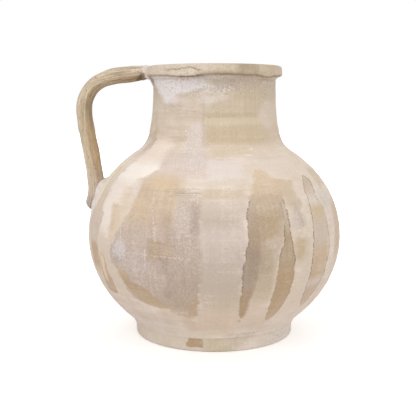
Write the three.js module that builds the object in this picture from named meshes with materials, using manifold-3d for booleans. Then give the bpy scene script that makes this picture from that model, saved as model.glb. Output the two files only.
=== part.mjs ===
// A one-handled clay vase put together the way a potter builds it: a turned foot disc, a belly in
// two halves, a neck collar and a rim coil, stacked on grooved seams, with a pulled handle coped to
// the rim and the belly and bedded in pads of luting clay.
// Millimetres, +Z up. The origin is the middle of the foot's underside, and the handle is at -X.
import * as THREE from "three";
import { mergeVertices } from "three/addons/utils/BufferGeometryUtils.js";
import Module from "manifold-3d";

const wasm = await Module();
wasm.setup();

// Shared by every piece: the wall, the slip-filled gap between two pieces, and the facets of a turn.
const wallThickness = 8;
const slipGap = 0.3;
const turnSegments = 48;

// Heights of the stacked members.
const footHeight = 15.5;
const lowerBellyHeight = 97;
const upperBellyHeight = 92.5;
const neckHeight = 79;
const rimHeight = 16;

// Outside radii.
const footRadius = 89.7;
const bellyRadius = 142.4;
const neckRootRadius = 89.8;
const neckRadius = 68.1;
const rimOverhang = 7.1;

// Foot: an eased lower edge, an upright band, then a flare out to a ledge under the belly.
const footEdgeRound = 2.5;
const footBandHeight = 8;
const footLedge = 2.5;

// Lower belly: it turns in to the foot's ledge over this height, starting this far outside it.
const bellyTurnHeight = 8.5;
const bellyTurnReach = 6.3;

// Neck: how far the shoulder's slope runs on into it, and where it stands upright.
const neckSlopeRise = 8.5;
const neckSweepRise = 12.8;

// Rim: the slanting underside, and the rounding of the corners.
const rimUnderHeight = 4.5;
const rimUnderRound = 2;
const rimTopRound = 4;

// Ring seams: the lower member's tongue stands in a groove in the upper one.
const tongueWidth = 3.2;
const tongueTopWidth = 2.4;
const tongueHeight = 3;

// Coils of clay pressed over the seams inside.
const seamCoilHeight = 12;
const seamCoilDepth = 4.5;
const floorCoilHeight = 9;
const floorCoilWidth = 10;

// Handle: an oval strap. Its middle line leaves the rim as an arm, bends down, and the leg ends in
// a toe on the belly. A pull is how far the line keeps its direction at the end of a curve.
const handleThickness = 18;
const handleRimThickness = 15.4;
const handleBendThickness = 16.4;
const handleWidth = 24;
const handleToeWidth = 29;
const handleArmLength = 70.7;
const handleArmBelowRim = 6.5;
const handleArmPull = 19.7;
const handleArmFall = 0.208;
const handleBendBelowRim = 49.6;
const handleBendPull = 45.9;
const handleLegPull = 24.9;
const handleToeAboveSeam = 35.5;
const handleToeProud = 0.7;
const handleToePull = 27.5;
const handleToeLean = 0.3;
const handleToeRound = 9;
const handleOval = 1.9;
const handleSides = 16;
const armSteps = 18;
const legSteps = 18;
const toeSteps = 3;

// Luting clay: a pad under and beside the handle's end at the rim, and a pad round its toe.
const rimPadLength = 14;
const rimPadDepth = 5;
const rimPadSide = 4;
const toePadSide = 6;
const toePadProud = 4.5;
const toePadAboveToe = 34;
const toePadBelowToe = 17;
const toePadSteps = 12;

const footTop = footHeight;
const seamHeight = footTop + lowerBellyHeight;
const shoulderTop = seamHeight + upperBellyHeight;
const neckTop = shoulderTop + neckHeight;
const rimTop = neckTop + rimHeight;
const ledgeRadius = footRadius + footLedge;
const rimRadius = neckRadius + rimOverhang;

const point = (x, y) => new THREE.Vector2(x, y);

// Points along curves laid end to end, each given with its number of steps.
const trace = (...legs) =>
  legs.flatMap(([curve, steps], i) => curve.getPoints(steps).slice(i ? 1 : 0));

const straight = (a, b) => new THREE.LineCurve(a, b);
const bent = (a, corner, b) => new THREE.QuadraticBezierCurve(a, corner, b);

// An ellipse that is bellyRadius wide at the seam and endRadius wide at some height from it: its
// upright half axis, the angle where it has that width, and its slope there, outward over upward.
function bellyEllipse(height, endRadius) {
  const angle = Math.acos(endRadius / bellyRadius);
  const axis = height / Math.sin(angle);
  return { angle, axis, slope: (bellyRadius / axis) * Math.tan(angle) };
}

// Radius at a height on an outline whose points rise.
function radiusAt(outline, height) {
  const next = outline.findIndex((p) => p.y >= height);
  if (next < 1) return outline.at(next).x;
  const [a, b] = [outline[next - 1], outline[next]];
  return a.x + ((b.x - a.x) * (height - a.y)) / (b.y - a.y);
}

// Inside face of a wall: the outside moved in along the horizontal, further where it slopes.
function insideOf(outside) {
  return outside.map((p, i) => {
    const below = outside[Math.max(i - 1, 0)];
    const above = outside[Math.min(i + 1, outside.length - 1)];
    const slope = (above.x - below.x) / (above.y - below.y);
    return point(p.x - wallThickness * Math.hypot(1, slope), p.y);
  });
}

// Outlines of the turned members, from their lower edge up.
function lowerBellyOutside() {
  const turnRadius = ledgeRadius + bellyTurnReach;
  const { angle, axis, slope } = bellyEllipse(lowerBellyHeight - bellyTurnHeight, turnRadius);
  const turnTop = point(turnRadius, footTop + bellyTurnHeight);
  const corner = point(turnRadius - (slope * bellyTurnHeight) / 2, turnTop.y - bellyTurnHeight / 2);
  return trace(
    [bent(point(ledgeRadius, footTop), corner, turnTop), 2],
    [new THREE.EllipseCurve(0, seamHeight, bellyRadius, axis, -angle, 0), 9],
  );
}

function upperBellyOutside() {
  const { angle, axis } = bellyEllipse(upperBellyHeight, neckRootRadius);
  return trace([new THREE.EllipseCurve(0, seamHeight, bellyRadius, axis, 0, angle), 10]);
}

function neckOutside() {
  const { slope } = bellyEllipse(upperBellyHeight, neckRootRadius);
  const sweep = new THREE.CubicBezierCurve(
    point(neckRootRadius, shoulderTop),
    point(neckRootRadius - slope * neckSlopeRise, shoulderTop + neckSlopeRise),
    point(neckRadius, shoulderTop + neckSweepRise),
    point(neckRadius, neckTop),
  );
  return trace([sweep, 9]);
}

function rimOutside() {
  const underEnd = point(rimRadius, neckTop + rimUnderHeight + rimUnderRound);
  const underCorner = point(rimRadius, neckTop + rimUnderHeight);
  const under = underCorner.clone().sub(point(neckRadius, neckTop)).setLength(rimUnderRound);
  const underStart = underCorner.clone().sub(under);
  const topStart = point(rimRadius, rimTop - rimTopRound);
  const topEnd = point(rimRadius - rimTopRound, rimTop);
  return trace(
    [straight(point(neckRadius, neckTop), underStart), 1],
    [bent(underStart, underCorner, underEnd), 2],
    [straight(underEnd, topStart), 1],
    [bent(topStart, point(rimRadius, rimTop), topEnd), 3],
  );
}

const lowerOutside = lowerBellyOutside();
const upperOutside = upperBellyOutside();
const neckFace = neckOutside();
const rimFace = rimOutside();
const lowerInside = insideOf(lowerOutside);
const upperInside = insideOf(upperOutside);
const neckInside = insideOf(neckFace);
const mouthRadius = neckInside.at(-1).x;

// Middle of the wall above a seam, at half the tongue's height.
function seamMiddle(outside, inside) {
  const height = outside[0].y + tongueHeight / 2;
  return (radiusAt(outside, height) + radiusAt(inside, height)) / 2;
}

// A tongue's points, from the outside in.
function tongue(middle, height) {
  const top = height + tongueHeight;
  return [
    point(middle + tongueWidth / 2, height),
    point(middle + tongueTopWidth / 2, top),
    point(middle - tongueTopWidth / 2, top),
    point(middle - tongueWidth / 2, height),
  ];
}

// A groove's points, from the inside out: the tongue's own with the slip's gap all round.
function groove(middle, height) {
  const top = height + tongueHeight + slipGap;
  return [
    point(middle - tongueWidth / 2 - slipGap, height),
    point(middle - tongueTopWidth / 2 - slipGap, top),
    point(middle + tongueTopWidth / 2 + slipGap, top),
    point(middle + tongueWidth / 2 + slipGap, height),
  ];
}

const footSeam = seamMiddle(lowerOutside, lowerInside);
const bellySeam = seamMiddle(upperOutside, upperInside);
const neckSeam = seamMiddle(neckFace, neckInside);
const rimSeam = (neckRadius + mouthRadius) / 2;

// A profile turned about the upright axis. It starts and ends on the axis, or is closed here.
function turned(profile) {
  const onAxis = profile[0].x === 0 && profile.at(-1).x === 0;
  const loop = onAxis ? profile : [...profile, profile[0].clone()];
  return new THREE.LatheGeometry(loop, turnSegments).rotateX(Math.PI / 2);
}

// A length of wall between two seams.
function wallRing(outside, inside, lowerSeam, upperSeam) {
  return turned([
    ...outside,
    ...tongue(upperSeam, outside.at(-1).y),
    ...inside.toReversed(),
    ...groove(lowerSeam, outside[0].y),
  ]);
}

function footDisc() {
  const edge = point(footRadius, footEdgeRound);
  const band = point(footRadius, footBandHeight);
  const outside = trace(
    [bent(point(footRadius - footEdgeRound, 0), point(footRadius, 0), edge), 2],
    [straight(edge, band), 1],
    [bent(band, point(footRadius, footHeight - footLedge), point(ledgeRadius, footHeight)), 3],
  );
  return turned([point(0, 0), ...outside, ...tongue(footSeam, footTop), point(0, footTop)]);
}

function rimCoil() {
  const innerTop = point(mouthRadius + rimTopRound, rimTop);
  const innerSide = point(mouthRadius, rimTop - rimTopRound);
  const inside = trace(
    [bent(innerTop, point(mouthRadius, rimTop), innerSide), 3],
    [straight(innerSide, point(mouthRadius, neckTop)), 1],
  );
  return turned([...rimFace, ...inside, ...groove(rimSeam, neckTop)]);
}

// A half-round coil over the belly's seam inside, flat against the wall.
function seamCoil() {
  const middle = seamHeight + tongueHeight / 2;
  const half = seamCoilHeight / 2;
  const back = Math.min(
    radiusAt(lowerInside, middle - half),
    radiusAt(upperInside, middle + half),
  ) - slipGap;
  const bulge = new THREE.EllipseCurve(back, middle, seamCoilDepth, half, Math.PI / 2, 1.5 * Math.PI);
  return turned(trace([bulge, 6]));
}

// A hollow fillet in the corner between the floor and the wall.
function floorCoil() {
  const heights = [0, floorCoilHeight / 2, floorCoilHeight].map((h) => footTop + h);
  const back = heights.map((h) => point(radiusAt(lowerInside, h) - slipGap, h));
  const toe = point(back[0].x - floorCoilWidth, footTop);
  const corner = point(back[0].x - slipGap, footTop + floorCoilHeight / 3);
  return turned([...back, ...trace([bent(back.at(-1), corner, toe), 4]).slice(1)]);
}

// Solids for joining and cutting.
function solidOf(geometry) {
  const bare = new THREE.BufferGeometry();
  bare.setAttribute("position", geometry.getAttribute("position"));
  bare.setIndex(geometry.index);
  const merged = mergeVertices(bare, 1e-3);
  const vertProperties = merged.getAttribute("position").array;
  const triVerts = new Uint32Array(merged.index.array);
  return new wasm.Manifold(new wasm.Mesh({ numProp: 3, vertProperties, triVerts }));
}

function geometryOf(solid) {
  const { vertProperties, triVerts } = solid.getMesh();
  const geometry = new THREE.BufferGeometry();
  geometry.setAttribute("position", new THREE.BufferAttribute(vertProperties, 3));
  geometry.setIndex(new THREE.BufferAttribute(triVerts, 1));
  geometry.computeVertexNormals();
  return geometry;
}

// The whole pot as one filled form, the slip's gap larger all round and upright from the rim's
// widest line to above the handle. The handle and its pads are cut back by it.
function potSpace() {
  const widest = rimFace.findIndex((p) => p.x === rimRadius);
  const faces = [
    ...lowerOutside,
    ...upperOutside.slice(1),
    ...neckFace.slice(1),
    ...rimFace.slice(1, widest + 1),
  ];
  const top = rimTop + handleThickness;
  return solidOf(turned([
    point(0, footTop),
    ...faces.map((p) => point(p.x + slipGap, p.y)),
    point(rimRadius + slipGap, top),
    point(0, top),
  ]));
}

// A sweep of ovals in the plane of the handle. Each station has a middle, a direction, a half
// thickness across that plane's line and a half width along Y. The ends are closed to a point each.
function swept(stations, first, last) {
  const places = [first.x, 0, first.y];
  for (const { middle, along, halfThickness, halfWidth } of stations) {
    for (let side = 0; side < handleSides; side += 1) {
      const angle = (2 * Math.PI * side) / handleSides;
      const [c, s] = [Math.cos(angle), Math.sin(angle)];
      const out = halfThickness * Math.sign(c) * Math.abs(c) ** (2 / handleOval);
      const across = halfWidth * Math.sign(s) * Math.abs(s) ** (2 / handleOval);
      places.push(middle.x - along.y * out, across, middle.y + along.x * out);
    }
  }
  places.push(last.x, 0, last.y);
  const corner = (station, side) => 1 + station * handleSides + (side % handleSides);
  const end = 1 + stations.length * handleSides;
  const faces = [];
  for (let side = 0; side < handleSides; side += 1) {
    faces.push(0, corner(0, side), corner(0, side + 1));
    for (let i = 0; i + 1 < stations.length; i += 1) {
      const [a, b] = [corner(i, side), corner(i, side + 1)];
      const [c, d] = [corner(i + 1, side), corner(i + 1, side + 1)];
      faces.push(a, c, b, b, c, d);
    }
    faces.push(end, corner(stations.length - 1, side + 1), corner(stations.length - 1, side));
  }
  const geometry = new THREE.BufferGeometry();
  geometry.setAttribute("position", new THREE.Float32BufferAttribute(places, 3));
  geometry.setIndex(faces);
  return solidOf(geometry);
}

// The handle's middle line: the arm with the bend, then the leg with the toe.
const armStart = point(-rimRadius, rimTop - handleArmBelowRim);
const bendEnd = point(-rimRadius - handleArmLength, rimTop - handleBendBelowRim);
const toeHeight = seamHeight + handleToeAboveSeam;
const toe = point(-radiusAt(upperOutside, toeHeight) - handleToeProud, toeHeight);
const armCurve = new THREE.CubicBezierCurve(
  armStart,
  point(-Math.cos(handleArmFall), -Math.sin(handleArmFall)).multiplyScalar(handleArmPull).add(armStart),
  point(bendEnd.x, bendEnd.y + handleBendPull),
  bendEnd,
);
const legCurve = new THREE.CubicBezierCurve(
  bendEnd,
  point(bendEnd.x, bendEnd.y - handleLegPull),
  point(Math.sin(handleToeLean), Math.cos(handleToeLean)).multiplyScalar(handleToePull).add(toe),
  toe,
);

// Stations of the handle, grown by some clearance all round.
function handleStations(grown) {
  const station = (curve, t, thickness, width, scale = 1, ahead = 0) => {
    const along = curve.getTangent(t);
    return {
      middle: curve.getPoint(t).addScaledVector(along, ahead),
      along,
      halfThickness: (thickness / 2 + grown) * scale,
      halfWidth: (width / 2 + grown) * scale,
    };
  };
  const arm = Array.from({ length: armSteps }, (_, i) => {
    const t = i / armSteps;
    const bend = Math.sin(Math.PI * t * t) ** 2;
    const full = THREE.MathUtils.lerp(handleThickness, handleBendThickness, bend);
    const thickness = THREE.MathUtils.lerp(handleRimThickness, full, Math.min(1, 4 * t));
    return station(armCurve, t, thickness, handleWidth);
  });
  const leg = Array.from({ length: legSteps + 1 }, (_, i) => {
    const t = i / legSteps;
    const spread = THREE.MathUtils.smoothstep(t, 0.5, 1);
    const width = THREE.MathUtils.lerp(handleWidth, handleToeWidth, spread);
    return station(legCurve, t, handleThickness, width);
  });
  const round = Array.from({ length: toeSteps }, (_, i) => {
    const turn = ((i + 1) / (toeSteps + 1)) * (Math.PI / 2);
    const ahead = (handleToeRound + grown) * Math.sin(turn);
    return station(legCurve, 1, handleThickness, handleToeWidth, Math.cos(turn), ahead);
  });
  return [...arm, ...leg, ...round];
}

// The handle before it is coped. It starts well inside the rim.
function handleBlank(grown) {
  const stations = handleStations(grown);
  const buried = { ...stations[0], middle: point(armStart.x + handleThickness, armStart.y) };
  buried.along = point(-1, 0);
  const tip = legCurve.getTangent(1).multiplyScalar(handleToeRound + grown).add(toe);
  return swept([buried, ...stations], buried.middle, tip);
}

const pot = potSpace();
const handleSpace = handleBlank(slipGap);

const handle = () => geometryOf(handleBlank(0).subtract(pot));

// Clay under and beside the handle's end, tapering away along the arm.
function rimPad() {
  const fullness = [1, 1, 0.55, -0.15];
  const runs = [handleThickness, 0, -rimPadLength / 2, -rimPadLength];
  const stations = fullness.map((share, i) => {
    const depth = (rimPadDepth * share) / 2;
    return {
      middle: point(armStart.x + runs[i], armStart.y - depth - slipGap),
      along: point(-1, 0),
      halfThickness: handleRimThickness / 2 + depth,
      halfWidth: handleWidth / 2 + rimPadSide * share,
    };
  });
  const pad = swept(stations, stations[0].middle, stations.at(-1).middle);
  return geometryOf(pad.subtract(handleSpace).subtract(pot));
}

// Clay round the toe, a low bank on the belly that follows its curve and fades at both ends.
function toePad() {
  const top = toeHeight + toePadAboveToe;
  const bottom = toeHeight - toePadBelowToe;
  const stations = Array.from({ length: toePadSteps + 1 }, (_, i) => {
    const share = i / toePadSteps;
    const height = THREE.MathUtils.lerp(top, bottom, share);
    const onBelly = (h) => point(-radiusAt(upperOutside, h), h);
    const along = onBelly(height - 1).sub(onBelly(height + 1)).normalize();
    const fullness = Math.sin(Math.PI * THREE.MathUtils.clamp(share, 0.04, 0.96)) ** 0.5;
    return {
      middle: onBelly(height),
      along,
      halfThickness: toePadProud * fullness,
      halfWidth: (handleToeWidth / 2 + toePadSide) * fullness,
    };
  });
  const pad = swept(stations, stations[0].middle, stations.at(-1).middle);
  return geometryOf(pad.subtract(handleSpace).subtract(pot));
}

const clay = (color, roughness) => new THREE.MeshStandardMaterial({ color, roughness, metalness: 0 });

const vase = new THREE.Group();
function add(name, geometry, material) {
  const mesh = new THREE.Mesh(geometry, material);
  mesh.name = name;
  vase.add(mesh);
}

add("foot_disc", footDisc(), clay(0xd9cdb9, 0.9));
add("floor_coil", floorCoil(), clay(0xcbbda6, 0.95));
add("lower_belly", wallRing(lowerOutside, lowerInside, footSeam, bellySeam), clay(0xdccfbb, 0.88));
add("seam_coil", seamCoil(), clay(0xc7b9a2, 0.95));
add("upper_belly", wallRing(upperOutside, upperInside, bellySeam, neckSeam), clay(0xdfd2be, 0.88));
add("neck", wallRing(neckFace, neckInside, neckSeam, rimSeam), clay(0xd2c3a8, 0.9));
add("rim_coil", rimCoil(), clay(0xc9b793, 0.9));
add("handle", handle(), clay(0xb9a37f, 0.9));
add("handle_rim_luting", rimPad(), clay(0xd8cbb8, 0.95));
add("handle_belly_luting", toePad(), clay(0xdccfc2, 0.95));

export default vase;
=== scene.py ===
# A one-handled clay vase: foot, belly, neck, rolled rim and pulled handle, washed with thin slip.
# Lengths are millimetres until a mesh is made. Angles round the pot are degrees from the front
# (-Y) towards +X, and the handle is at -90. Tones are colours as seen on screen, 0 to 255.
import bisect
import math
import bmesh
import bpy
from mathutils import Matrix, Vector, noise


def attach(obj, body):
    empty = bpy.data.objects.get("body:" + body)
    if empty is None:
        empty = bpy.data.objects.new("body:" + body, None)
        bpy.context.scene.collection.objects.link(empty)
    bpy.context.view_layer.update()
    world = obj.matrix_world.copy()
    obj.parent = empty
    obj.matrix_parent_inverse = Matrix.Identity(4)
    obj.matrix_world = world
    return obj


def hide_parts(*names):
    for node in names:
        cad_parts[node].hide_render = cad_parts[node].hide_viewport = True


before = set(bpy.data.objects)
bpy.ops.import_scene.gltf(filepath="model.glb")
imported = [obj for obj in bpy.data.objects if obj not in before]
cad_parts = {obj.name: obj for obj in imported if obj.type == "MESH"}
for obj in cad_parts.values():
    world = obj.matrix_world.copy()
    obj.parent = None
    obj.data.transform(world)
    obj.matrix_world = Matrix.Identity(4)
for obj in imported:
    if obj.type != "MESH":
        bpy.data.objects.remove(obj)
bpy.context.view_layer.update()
mm = 0.001
print("frame loaded:", len(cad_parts), "nodes")


# Shader maths

def linear(red, green, blue):
    # a colour as it is seen on screen, made linear
    shares = [c / 255 for c in (red, green, blue)]
    return tuple(s / 12.92 if s <= 0.04045 else ((s + 0.055) / 1.055) ** 2.4 for s in shares) + (1,)


class Wire:
    # a socket of a material's node tree, with arithmetic that adds Math nodes
    def __init__(self, tree, socket=None):
        self.tree = tree
        self.socket = socket

    def node(self, kind, settings=None, inputs=None, output=0):
        made = self.tree.nodes.new(kind)
        for name, value in (settings or {}).items():
            if name == "curve":
                bendCurve(made.mapping, value)
            elif name == "stops":
                setStops(made.color_ramp, value)
            else:
                setattr(made, name, value)
        for key, value in (inputs or {}).items():
            if isinstance(value, Wire):
                self.tree.links.new(value.socket, made.inputs[key])
            else:
                made.inputs[key].default_value = value
        return Wire(self.tree, made.outputs[output])

    def also(self, output):
        # another output of the same node
        return Wire(self.tree, self.socket.node.outputs[output])

    def math(self, operation, *others):
        return self.node("ShaderNodeMath", {"operation": operation}, dict(enumerate((self, *others))))

    def __add__(self, other):
        return self.math("ADD", other)

    def __sub__(self, other):
        return self.math("SUBTRACT", other)

    def __mul__(self, other):
        return self.math("MULTIPLY", other)

    def __truediv__(self, other):
        return self.math("DIVIDE", other)

    def __rsub__(self, other):
        return self.node("ShaderNodeMath", {"operation": "SUBTRACT"}, {0: other, 1: self})

    __radd__ = __add__
    __rmul__ = __mul__

    def size(self):
        return self.math("ABSOLUTE")

    def rise(self, low, high):
        # 0 at low, 1 at high, eased; low may be above high. It needs no clamp, and each clamp
        # would be a further node that the renderer has to keep apart
        kind = {"interpolation_type": "SMOOTHSTEP", "clamp": False}
        return self.node("ShaderNodeMapRange", kind, {0: self, 1: low, 2: high})

    def mixed(self, factor, colour, way="MIX"):
        # a colour laid over this one; three plain numbers are a tone
        if isinstance(colour, tuple):
            colour = linear(*colour)
        kind = {"data_type": "RGBA", "blend_type": way}
        return self.node("ShaderNodeMix", kind, {0: factor, 6: self, 7: colour}, output=2)

    def shaded(self, shade):
        # this colour made lighter or darker by a number
        grey = self.node("ShaderNodeCombineXYZ", None, {0: shade, 1: shade, 2: shade})
        return self.mixed(1, grey, "MULTIPLY")

    def toned(self, stops):
        # the tones that this number runs through
        stops = [(place, linear(*colour)) for place, colour in stops]
        return self.node("ShaderNodeValToRGB", {"stops": stops}, {0: self})

    def curved(self, curve):
        return self.node("ShaderNodeFloatCurve", {"curve": curve}, {1: self})

    def stored(self, name):
        # a number that the mesh carries for each vertex
        return self.node("ShaderNodeAttribute", {"attribute_name": name}, output=2)

    def split(self):
        # x of a place; y and z are its further outputs
        return self.node("ShaderNodeSeparateXYZ", None, {0: self})

    def stretched(self, x, y, z):
        return self.node("ShaderNodeVectorMath", {"operation": "MULTIPLY"}, {0: self, 1: (x, y, z)})

    def grain(self, size, detail=2.0, rough=0.5):
        # noise about 0, with features of that size
        values = {"Vector": self, "Scale": 1 / size, "Detail": detail, "Roughness": rough}
        return self.node("ShaderNodeTexNoise", None, values) - 0.5

    def finish(self, kind="ShaderNodeOutputMaterial"):
        # this shader is what the surface or the world shows
        out = self.tree.nodes.new(kind)
        self.tree.links.new(self.socket, out.inputs["Surface"])


def bendCurve(mapping, points):
    curve = mapping.curves[0]
    while len(curve.points) < len(points):
        curve.points.new(0.5, 0.5)
    for spot, (x, y) in zip(curve.points, points):
        spot.location = (x, y)
        spot.handle_type = "AUTO_CLAMPED"
    mapping.update()


def setStops(ramp, stops):
    while len(ramp.elements) < len(stops):
        ramp.elements.new(0.5)
    for element, (place, colour) in zip(ramp.elements, stops):
        element.position = place
        element.color = colour


def newMaterial(name):
    material = bpy.data.materials.new(name)
    material.use_nodes = True
    material.node_tree.nodes.clear()
    return material, Wire(material.node_tree)


def clayShader(paint, colour, roughness, height, depth):
    # dull fired clay, whose bump is that many millimetres deep
    bump = {"Strength": 1.0, "Distance": depth * mm, "Height": height}
    values = {"Base Color": colour, "Roughness": roughness, "Specular IOR Level": 0.25}
    values["Normal"] = paint.node("ShaderNodeBump", None, bump)
    paint.node("ShaderNodeBsdfPrincipled", None, values).finish()


def newGroup(name, inputs, outputs):
    # a node group that takes and gives numbers, and what it is given
    tree = bpy.data.node_groups.new(name, "ShaderNodeTree")
    for way, names in (("INPUT", inputs), ("OUTPUT", outputs)):
        for socket in names:
            tree.interface.new_socket(socket, in_out=way, socket_type="NodeSocketFloat")
    start = tree.nodes.new("NodeGroupInput")
    return tree, {socket: Wire(tree, start.outputs[socket]) for socket in inputs}


def finishGroup(tree, results):
    out = tree.nodes.new("NodeGroupOutput")
    for name, result in results.items():
        tree.links.new(result.socket, out.inputs[name])
    return tree


# Curves

def between(a, b, share):
    return a + (b - a) * share


def clamped(value):
    return min(1, max(0, value))


def eased(share):
    share = clamped(share)
    return share * share * (3 - 2 * share)


def bezierPoint(points, share):
    row = [Vector(p) for p in points]
    while len(row) > 1:
        row = [a.lerp(b, share) for a, b in zip(row, row[1:])]
    return row[0]


def bezier(points, count):
    return [bezierPoint(points, i / count) for i in range(count + 1)]


def along(points, share):
    # a point on a curve and the direction there
    ahead = bezierPoint(points, share + 0.002) - bezierPoint(points, share - 0.002)
    return bezierPoint(points, share), ahead.normalized()


def hump(away, width):
    # 1 in the middle, falling off on both sides
    return math.exp(-(away / width) ** 2)


def lump(x, y, z, size):
    return noise.noise(Vector((x, y, z)) / size)


# The pot's form: heights and radii of the outline, and the seams between its members

form = {
    "turns": 480,
    "wedges": 16,
    "weld": 0.004,
    "wall": 8,
    "slip": 0.3,
    "footTop": 15.5,
    "seam": 112.5,
    "shoulder": 205,
    "neckTop": 284,
    "rimTop": 300,
    "foot": 89.7,
    "footEdge": 2.5,
    "footBand": 8,
    "footFall": 2.5,
    "ledge": 92.2,
    "belly": 142.4,
    "turnRise": 8.5,
    "turnReach": 6.3,
    "neckRoot": 89.8,
    "neck": 68.1,
    "slopeRise": 8.5,
    "sweepRise": 12.8,
    "rim": 75.2,
    "lip": 289,
    "lipHollow": (0.5, 2.6),
    "lipSwell": (3, 0.9),
    "lipTurn": 1.8,
    "lipCorner": 0.4,
    "lipBulge": (0.5, 2.2),
    "lipSide": (0.2, 4.2),
    "topRound": 4,
    "tongue": 3.2,
    "tongueTop": 2.4,
    "tongueHeight": 3,
    "sharpAngle": 42,
}


def bellyArc(height, endRadius, up, count):
    # from the seam to where the belly has that radius, that far above or below it
    end = math.acos(endRadius / form["belly"])
    axis = height / math.sin(end)
    turns = [end * i / count for i in range(count + 1)]
    return [Vector((form["belly"] * math.cos(a), form["seam"] + up * axis * math.sin(a))) for a in turns]


def slopeAt(height, endRadius):
    end = math.acos(endRadius / form["belly"])
    return form["belly"] / height * math.sin(end) * math.tan(end)


def footOutside():
    foot, edge, band, top = [form[k] for k in ("foot", "footEdge", "footBand", "footTop")]
    outside = bezier([(foot - edge, 0), (foot, 0), (foot, edge)], 5)[:-1]
    outside += bezier([(foot, edge), (foot, band)], 5)[:-1]
    return outside + bezier([(foot, band), (foot, top - form["footFall"]), (form["ledge"], top)], 8)


def lowerOutside():
    turnRadius = form["ledge"] + form["turnReach"]
    rise = form["turnRise"]
    height = form["seam"] - form["footTop"] - rise
    corner = (turnRadius - slopeAt(height, turnRadius) * rise / 2, form["footTop"] + rise / 2)
    turn = bezier([(form["ledge"], form["footTop"]), corner, (turnRadius, form["footTop"] + rise)], 8)
    return turn[:-1] + bellyArc(height, turnRadius, -1, 76)[::-1]


def upperOutside():
    return bellyArc(form["shoulder"] - form["seam"], form["neckRoot"], 1, 82)


def neckOutside():
    slope = slopeAt(form["shoulder"] - form["seam"], form["neckRoot"])
    return bezier([
        (form["neckRoot"], form["shoulder"]),
        (form["neckRoot"] - slope * form["slopeRise"], form["shoulder"] + form["slopeRise"]),
        (form["neck"], form["shoulder"] + form["sweepRise"]),
        (form["neck"], form["neckTop"]),
    ], 64)


def rimOutside():
    # from the neck out under the lip, round it, up the side and over the top edge
    neck, side, top, base, lip = [form[k] for k in ("neck", "rim", "rimTop", "neckTop", "lip")]
    (hollowOut, hollowUp), (swellOut, swellDown) = form["lipHollow"], form["lipSwell"]
    (bulgeOut, bulgeUp), (sideOut, sideUp) = form["lipBulge"], form["lipSide"]
    edge, upright, topEdge = side - form["lipTurn"], side + sideOut, top - form["topRound"]
    corner, bulge = (upright, lip + form["lipCorner"]), (side + bulgeOut, lip + bulgeUp)
    hollow, swell = (neck + hollowOut, base + hollowUp), (neck + swellOut, lip - swellDown)
    outside = bezier([(neck, base), hollow, swell, (edge, lip)], 9)[:-1]
    outside += bezier([(edge, lip), corner, bulge, (upright, lip + sideUp)], 6)[:-1]
    outside += bezier([(upright, lip + sideUp), (side, topEdge)], 2)[:-1]
    return outside + bezier([(side, topEdge), (side, top), (side - form["topRound"], top)], 6)


outlines = {
    "foot": footOutside(),
    "lower": lowerOutside(),
    "upper": upperOutside(),
    "neck": neckOutside(),
    "rim": rimOutside(),
}
wholeOutline = [p for outline in outlines.values() for p in outline]


def radiusAt(outline, height):
    # the outline's points rise, so the height is found by halving
    after = bisect.bisect_left(outline, height, key=lambda p: p.y)
    if after == 0 or after == len(outline):
        return outline[min(after, len(outline) - 1)].x
    a, b = outline[after - 1], outline[after]
    return a.x + (b.x - a.x) * (height - a.y) / max(b.y - a.y, 1e-6)


table = {"rows": 5, "top": 310}
outsideTable = [radiusAt(wholeOutline, i / table["rows"]) for i in range(table["rows"] * table["top"])]


def outsideAt(height):
    # the outside's radius, from a table with a few rows to the millimetre
    row = min(max(height, 0) * table["rows"], len(outsideTable) - 2)
    i = int(row)
    return outsideTable[i] + (outsideTable[i + 1] - outsideTable[i]) * (row - i)


def tiltAt(height, near=0.6):
    # how far the outside leans out for each unit of height
    return (outsideAt(height + near) - outsideAt(height - near)) / (2 * near)


def insideOf(outside, every):
    # the inner face of the wall, thicker along the level where the outside slopes
    made = []
    last = len(outside) - 1
    for i in sorted(set(range(0, last, every)) | {last}):
        below, above = outside[max(i - 1, 0)], outside[min(i + 1, last)]
        slope = (above.x - below.x) / (above.y - below.y)
        made.append(Vector((outside[i].x - form["wall"] * math.hypot(1, slope), outside[i].y)))
    return made


insides = {name: insideOf(outlines[name], 3) for name in ("lower", "upper", "neck")}
mouth = insides["neck"][-1].x


def seamMiddle(name):
    height = outlines[name][0].y + form["tongueHeight"] / 2
    return (radiusAt(outlines[name], height) + radiusAt(insides[name], height)) / 2


def tongue(middle, height, room=0):
    # the lower member's ridge, from the outer side to the inner
    top = height + form["tongueHeight"] + room
    half, halfTop = form["tongue"] / 2 + room, form["tongueTop"] / 2 + room
    spots = [(half, height), (halfTop, top), (-halfTop, top), (-half, height)]
    return [Vector((middle + x, y)) for x, y in spots]


def groove(middle, height):
    # the same in the upper member, with room for slip, from the inner side to the outer
    return tongue(middle, height, form["slip"])[::-1]


seams = {name: seamMiddle(name) for name in ("lower", "upper", "neck")}
seams["rim"] = (form["neck"] + mouth) / 2

# The hand of the maker: how far the clay wanders from a true turned form, and over what size
hand = {
    "wander": 0.45,
    "wanderSize": 60,
    "rings": 0.22,
    "ringPitch": 5.0,
    "ringLength": 240,
    "dents": 0.14,
    "dentSize": 13,
    "insideRings": 0.4,
    "insidePitch": 9.0,
    "insideWander": 0.5,
    "insideSize": 25,
    "skin": 6,
    "outerWithin": 0.2,
    "innerWithin": 0.4,
}


def bodyRelief(x, y, z):
    wander = lump(x, y, z, hand["wanderSize"]) * hand["wander"]
    length = hand["ringLength"]
    rings = lump(x / length, y / length, z / hand["ringPitch"], 1) * hand["rings"]
    return wander + rings + lump(x, y, z, hand["dentSize"]) * hand["dents"]


def insideRelief(x, y, z):
    turn = math.atan2(y, x) / (2 * math.pi)
    finger = math.sin(2 * math.pi * (z / hand["insidePitch"] + turn))
    return finger * hand["insideRings"] + lump(x, y, z, hand["insideSize"]) * hand["insideWander"]


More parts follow.
